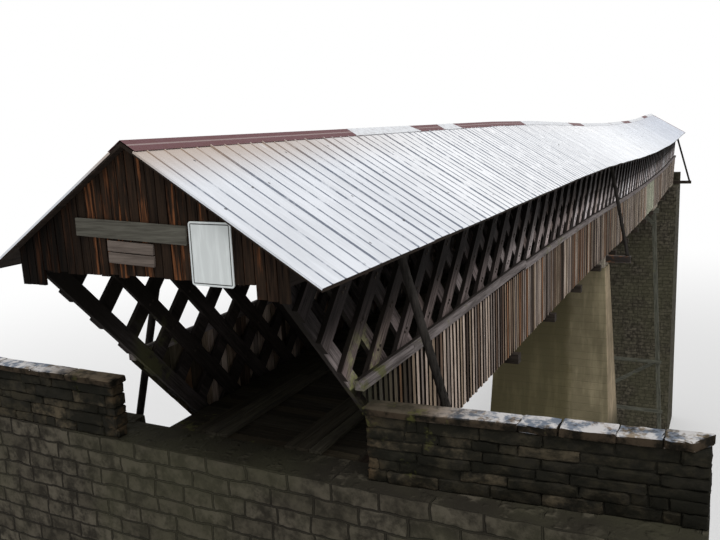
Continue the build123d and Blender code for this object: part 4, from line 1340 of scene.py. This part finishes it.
class BRIDGE_OT_floor(bpy.types.Operator):
    """Lay the cross planks and the two runs of planks for wheels"""

    bl_idname = "bridge.floor"
    bl_label = "Floor"

    def execute(self, context):
        settings = context.scene.bridge
        timber = settings.timber
        dark = timber.dark_colour
        planks = timber_finish("deck_planks", (0.05, 0.045, 0.032), dark, "YXZ", tones=FLOOR_TONES, moss=0.3)
        light_runner, dark_runner = (0.085, 0.076, 0.055), (0.02, 0.018, 0.014)
        runners = timber_finish("running_planks", light_runner, dark_runner, tones=FLOOR_TONES)
        self.make_deck(settings, planks)
        self.make_runners(settings, runners)
        frames = timber_finish("floor_timbers", timber.brown_colour, dark)
        cross = timber_finish("cross_timbers", timber.brown_colour, dark, "YXZ")
        ends = timber_finish("beam_timbers", (0.05, 0.04, 0.032), dark, "YXZ")
        dress(frames, "stringers")
        dress(ends, "floor_beams", "end_outriggers")
        dress(cross, "tie_beams", "rafters")
        blocks = timber_finish("bed_timbers", (0.42, 0.37, 0.3), (0.1, 0.085, 0.065))
        dress(blocks, "abutment_bed_timbers", "pier_blocks", "bent_bolsters")
        return {"FINISHED"}

    def make_deck(self, settings, finish):
        """Cross planks side by side, a little uneven in level and length."""
        timber = settings.timber
        rng = Random(settings.seed + 21)
        low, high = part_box("deck")
        low_z, high_z = straight("deck")
        pitch = timber.deck_plank_pitch
        bm = bmesh.new()
        for i in range(int((high.x - low.x) / pitch)):
            x0 = low.x + i * pitch + timber.deck_plank_gap / 2
            x1 = x0 + pitch - timber.deck_plank_gap
            top = high_z + rng.uniform(*DECK_LEVEL)
            reach = high.y - rng.uniform(*DECK_SHORTFALL)
            add_box(bm, (x0, -reach, low_z), (x1, reach, top), rng.random())
        hang(bm)
        finish_piece(bm, "deck_cross_planks", [finish], ["deck"])

    def make_runners(self, settings, finish):
        """Three rows of long planks for each wheel, with their ends apart."""
        rng = Random(settings.seed + 22)
        low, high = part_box("running_planks")
        low_z, high_z = straight("running_planks")
        inner = min(abs(v.co.y) for v in NODES["running_planks"].data.vertices)
        width = (high.y - inner) / RUNNER_ROWS
        bm = bmesh.new()
        for side in (-1, 1):
            for i in range(RUNNER_ROWS):
                x = low.x - rng.uniform(*RUNNER_STEP)
                row = inner + i * width
                y0, y1 = sorted((side * (row + RUNNER_GAP / 2), side * (row + width - RUNNER_GAP / 2)))
                while x < high.x:
                    end = min(x + rng.uniform(*RUNNER_LENGTH), high.x)
                    start = max(x, low.x)
                    if end - start > SHORTEST_RUNNER:
                        x0, x1 = start + RUNNER_END_GAP / 2, end - RUNNER_END_GAP / 2
                        top = high_z - rng.uniform(*RUNNER_WEAR)
                        add_box(bm, (x0, y0, low_z), (x1, y1, top), rng.random())
                    x = end
        cut_at_bends(bm)
        hang(bm)
        finish_piece(bm, "running_plank_lengths", [finish], ["running_planks"])


# Supports


class BRIDGE_OT_supports(bpy.types.Operator):
    """Finish the poles, the pier with its steel beam, the bent and the abutments"""

    bl_idname = "bridge.supports"
    bl_label = "Supports"

    def execute(self, context):
        settings = context.scene.bridge
        stone = settings.stone
        pole = timber_finish(
            "round_poles", (0.045, 0.04, 0.036), (0.01, 0.009, 0.008), "ZXY", cracks=0.8, relief=0.006
        )
        bm = copy_of("brace_poles")
        finish_piece(bm, "round_brace_poles", [pole], ["brace_poles"], smooth_angle=50)
        dress(steel_finish((0.2, 0.085, 0.035), (0.04, 0.032, 0.028)), "pier_beam")
        concrete = concrete_finish(
            stone.concrete_colour, stone.concrete_dark_colour, stone.concrete_end_colour, stone.board_mark
        )
        bm = copy_of("pier")
        soften(bm, 0.02, segments=2)
        finish_piece(bm, "cast_pier", [concrete], ["pier"])
        light, dark = (0.12, 0.12, 0.095), (0.03, 0.03, 0.024)
        dress(timber_finish("bent_posts", light, dark, "ZXY", moss=0.35), "bent_posts")
        dress(timber_finish("bent_braces", light, dark, "YXZ", moss=0.35), "bent_cap", "bent_bracing")
        masonry = masonry_finish(MASONRY_TONES, stone.abutment_course, stone.abutment_stone)
        dress(masonry, "near_abutment", "far_abutment")
        return {"FINISHED"}


def along_parapet(node, side):
    """Where a parapet or its cap runs: inner and outer end, near face, splay, thickness and levels."""
    places = [v.co for v in NODES[node].data.vertices if v.co.y * side > 0]
    inner = min(abs(place.y) for place in places)
    outer = max(abs(place.y) for place in places)
    near = min(place.x for place in places if abs(place.y) < inner + 0.05)
    end_near = min(place.x for place in places if abs(place.y) > outer - 0.05)
    thickness = max(place.x for place in places if abs(place.y) < inner + 0.05) - near
    low = min(place.z for place in places)
    high = max(place.z for place in places)
    return inner, outer, near, (end_near - near) / (outer - inner), thickness, low, high


def roughen(bm, rng, longest, amount):
    """Rounds stones, cuts their long edges and moves every point a little."""
    soften(bm, STONE_ROUNDING, segments=2)
    long_edges = [edge for edge in bm.edges if edge.calc_length() > longest]
    bmesh.ops.subdivide_edges(bm, edges=long_edges, cuts=3, use_grid_fill=True)
    for vertex in bm.verts:
        vertex.co += Vector([rng.uniform(-share, share) for share in ROUGHNESS]) * amount


def set_beside_road(bm, side, inner, near, splay):
    """Moves stones laid along +Y from 0 to their side of the road, turned with the wall."""
    for vertex in bm.verts:
        vertex.co.x += near + splay * vertex.co.y
        vertex.co.y = side * (inner + vertex.co.y)
    bmesh.ops.recalc_face_normals(bm, faces=bm.faces[:])


def make_parapet(node, side, settings, finish):
    """Rough courses of separate stones round a core."""
    stone = settings.stone
    rng = Random(settings.seed + side)
    inner, outer, near, splay, thickness, low, high = along_parapet(node, side)
    length = outer - inner
    courses = round((high - low) / stone.course_height)
    levels = [low + (high - low) * i / courses for i in range(courses + 1)]
    for i in range(1, courses):
        levels[i] += rng.uniform(-COURSE_WANDER, COURSE_WANDER)
    bm = bmesh.new()
    for z0, z1 in zip(levels, levels[1:]):
        y = -rng.uniform(*COURSE_STEP)
        while y < length:
            end = y + stone.stone_length * rng.uniform(*STONE_RANGE)
            if length - end < SHORTEST_REST:
                end = length
            start = max(y, 0.0)
            if end - start > SHORTEST_STONE:
                set_back = rng.uniform(0.0, STONE_SET_BACK)
                bottom = (set_back, start + stone.joint / 2, z0 + stone.joint / 2)
                top = (thickness - set_back, end - stone.joint / 2, z1 - stone.joint / 2)
                add_box(bm, bottom, top, rng.random())
            y = end
    roughen(bm, rng, 0.08, 0.006)
    core_top = (thickness - CORE_SET_BACK, length - CORE_END, high - CORE_TOP)
    add_box(bm, (CORE_SET_BACK, CORE_END, low), core_top, 0.0)
    set_beside_road(bm, side, inner, near, splay)
    finish_piece(bm, node + "_stones", [finish], [node], smooth_angle=35)


class BRIDGE_OT_parapets(bpy.types.Operator):
    """Lay the stones of the parapets and the slabs on top of them"""

    bl_idname = "bridge.parapets"
    bl_label = "Parapets"

    def execute(self, context):
        settings = context.scene.bridge
        finish = stone_finish("parapet_stones", STONE_TONES, 0.25)
        for side, hand in SIDES:
            make_parapet(hand + "_parapet", side, settings, finish)
        self.make_caps(settings, stone_finish("parapet_cap_slabs", SLAB_TONES, 0.3, bleached=0.85))
        return {"FINISHED"}

    def make_caps(self, settings, finish):
        """Slabs end to end. The right cap's last slab is broken off on the slant."""
        joined = bmesh.new()
        for side, joints in SLAB_JOINTS.items():
            rng = Random(settings.seed + 40 + side)
            inner, outer, near, splay, thickness, low, high = along_parapet("parapet_caps", side)
            length = outer - inner
            bm = bmesh.new()
            starts = (0.0,) + joints
            for start, end in zip(starts, starts[1:] + (length,)):
                gap = GAPING_GAP if start == GAPING_JOINT else SLAB_GAP
                top = (thickness - SLAB_SET_BACK, end - SLAB_GAP, high - rng.uniform(*SLAB_DIP))
                add_box(bm, (SLAB_SET_BACK, start + gap, low), top, rng.random())
            if side < 0:
                broken = cut(bm, (0, length - BREAK_FROM_END, low), BREAK_FACES, clear_outer=True)
                bmesh.ops.contextual_create(bm, geom=broken)
            roughen(bm, rng, 0.1, 0.004)
            set_beside_road(bm, side, inner, near, splay)
            joined.from_mesh(mesh_from(bm, "cap_slabs"))
        finish_piece(joined, "parapet_cap_slabs", [finish], ["parapet_caps"], smooth_angle=40)


# Stage


class BRIDGE_OT_stage(bpy.types.Operator):
    """Set the camera, the pale floor, the lamp and the even light"""

    bl_idname = "bridge.stage"
    bl_label = "Stage"

    def execute(self, context):
        stage = context.scene.bridge.stage
        self.set_camera(context.scene, stage)
        self.set_floor()
        self.set_light(context.scene, stage)
        context.scene.view_settings.view_transform = "Standard"
        return {"FINISHED"}

    def set_camera(self, scene, stage):
        """The camera, turned left, down and about its view from the bridge's line."""
        data = bpy.data.cameras.new("camera")
        data.lens = stage.lens
        data.sensor_width = 36.0
        data.clip_end = 500.0
        camera = bpy.data.objects.new("camera", data)
        scene.collection.objects.link(camera)
        yaw, pitch, roll = stage.camera_yaw, stage.camera_pitch, stage.camera_roll
        ahead = Vector((cos(yaw) * cos(pitch), sin(yaw) * cos(pitch), -sin(pitch)))
        right = Vector((sin(yaw), -cos(yaw), 0.0))
        up = right.cross(ahead)
        rolled_right = right * cos(roll) + up * sin(roll)
        rolled_up = up * cos(roll) - right * sin(roll)
        turn = Matrix((rolled_right, rolled_up, -ahead)).transposed()
        camera.matrix_world = Matrix.Translation(stage.camera_place) @ turn.to_4x4()
        scene.camera = camera

    def set_floor(self):
        """A wide pale disc, which turns white for the camera far from the bridge."""
        bm = bmesh.new()
        bmesh.ops.create_circle(bm, cap_ends=True, segments=96, radius=220.0)
        mesh = mesh_from(bm, "floor")
        floor = bpy.data.objects.new("floor", mesh)
        bpy.context.scene.collection.objects.link(floor)
        pale = Finish("pale_floor")
        pale.feed(pale.shader.inputs["Base Color"], (0.72, 0.72, 0.72))
        pale.feed(pale.shader.inputs["Roughness"], 0.9)
        distance = pale.add("VectorMath", {0: pale.place}, operation="LENGTH").outputs["Value"]
        camera_ray = pale.add("LightPath").outputs["Is Camera Ray"]
        glow = pale.add("Emission", {"Color": (1, 1, 1), "Strength": 1.0}).outputs[0]
        share = pale.times(pale.span(distance, 18.0, 60.0), camera_ray)
        mixed = pale.add("MixShader", {0: share, 1: pale.shader.outputs[0], 2: glow})
        pale.feed(pale.output.inputs["Surface"], mixed.outputs[0])
        mesh.materials.append(pale.material)

    def set_light(self, scene, stage):
        """A soft lamp and an even light, which the camera and mirrors see as white."""
        lamp = bpy.data.lights.new("soft_sun", "SUN")
        lamp.energy = stage.sun_strength
        lamp.angle = radians(35.0)
        sun = bpy.data.objects.new("soft_sun", lamp)
        toward = Vector((0.35, 0.4, -1.0))
        sun.rotation_euler = toward.to_track_quat("-Z", "Y").to_euler()
        scene.collection.objects.link(sun)
        world = bpy.data.worlds.new("even_light")
        world.use_nodes = True
        world.node_tree.nodes.clear()
        scene.world = world
        sky = ShaderTree(world.node_tree)
        path = sky.add("LightPath").outputs
        mirrored = sky.maths("MAXIMUM", path["Is Glossy Ray"], path["Is Transmission Ray"])
        seen = sky.maths("MAXIMUM", path["Is Camera Ray"], mirrored)
        strength = sky.linear(seen, 1.0 - stage.sky_strength, stage.sky_strength)
        background = sky.add("Background", {"Color": (1, 1, 1), "Strength": strength})
        sky.add("OutputWorld", {"Surface": background.outputs[0]})


# Panel and registration

OPERATORS = (
    BRIDGE_OT_roof,
    BRIDGE_OT_ridge,
    BRIDGE_OT_gables,
    BRIDGE_OT_signs,
    BRIDGE_OT_trusses,
    BRIDGE_OT_sides,
    BRIDGE_OT_floor,
    BRIDGE_OT_supports,
    BRIDGE_OT_parapets,
    BRIDGE_OT_stage,
)


class BRIDGE_PT_dressing(bpy.types.Panel):
    """Lists the settings and the pieces"""

    bl_label = "Covered bridge"
    bl_space_type = "VIEW_3D"
    bl_region_type = "UI"
    bl_category = "Bridge"

    def draw(self, context):
        settings = context.scene.bridge
        self.layout.prop(settings, "seed")
        for group in (settings.roof, settings.timber, settings.stone, settings.stage):
            box = self.layout.box()
            box.label(text=group.bl_rna.name)
            for name in group.__annotations__:
                box.prop(group, name)
        for operator in OPERATORS:
            self.layout.operator(operator.bl_idname)


SETTINGS = (RoofSettings, TimberSettings, StoneSettings, StageSettings, BridgeSettings)
CLASSES = (*SETTINGS, *OPERATORS, BRIDGE_PT_dressing)


def register():
    for cls in CLASSES:
        bpy.utils.register_class(cls)
    bpy.types.Scene.bridge = PointerProperty(type=BridgeSettings)


def unregister():
    del bpy.types.Scene.bridge
    for cls in reversed(CLASSES):
        bpy.utils.unregister_class(cls)


def main():
    register()
    bpy.ops.bridge.roof()
    bpy.ops.bridge.ridge()
    bpy.ops.bridge.gables()
    bpy.ops.bridge.signs()
    bpy.ops.bridge.trusses()
    bpy.ops.bridge.sides()
    bpy.ops.bridge.floor()
    bpy.ops.bridge.supports()
    bpy.ops.bridge.parapets()
    bpy.ops.bridge.stage()


if __name__ == "__main__":
    main()
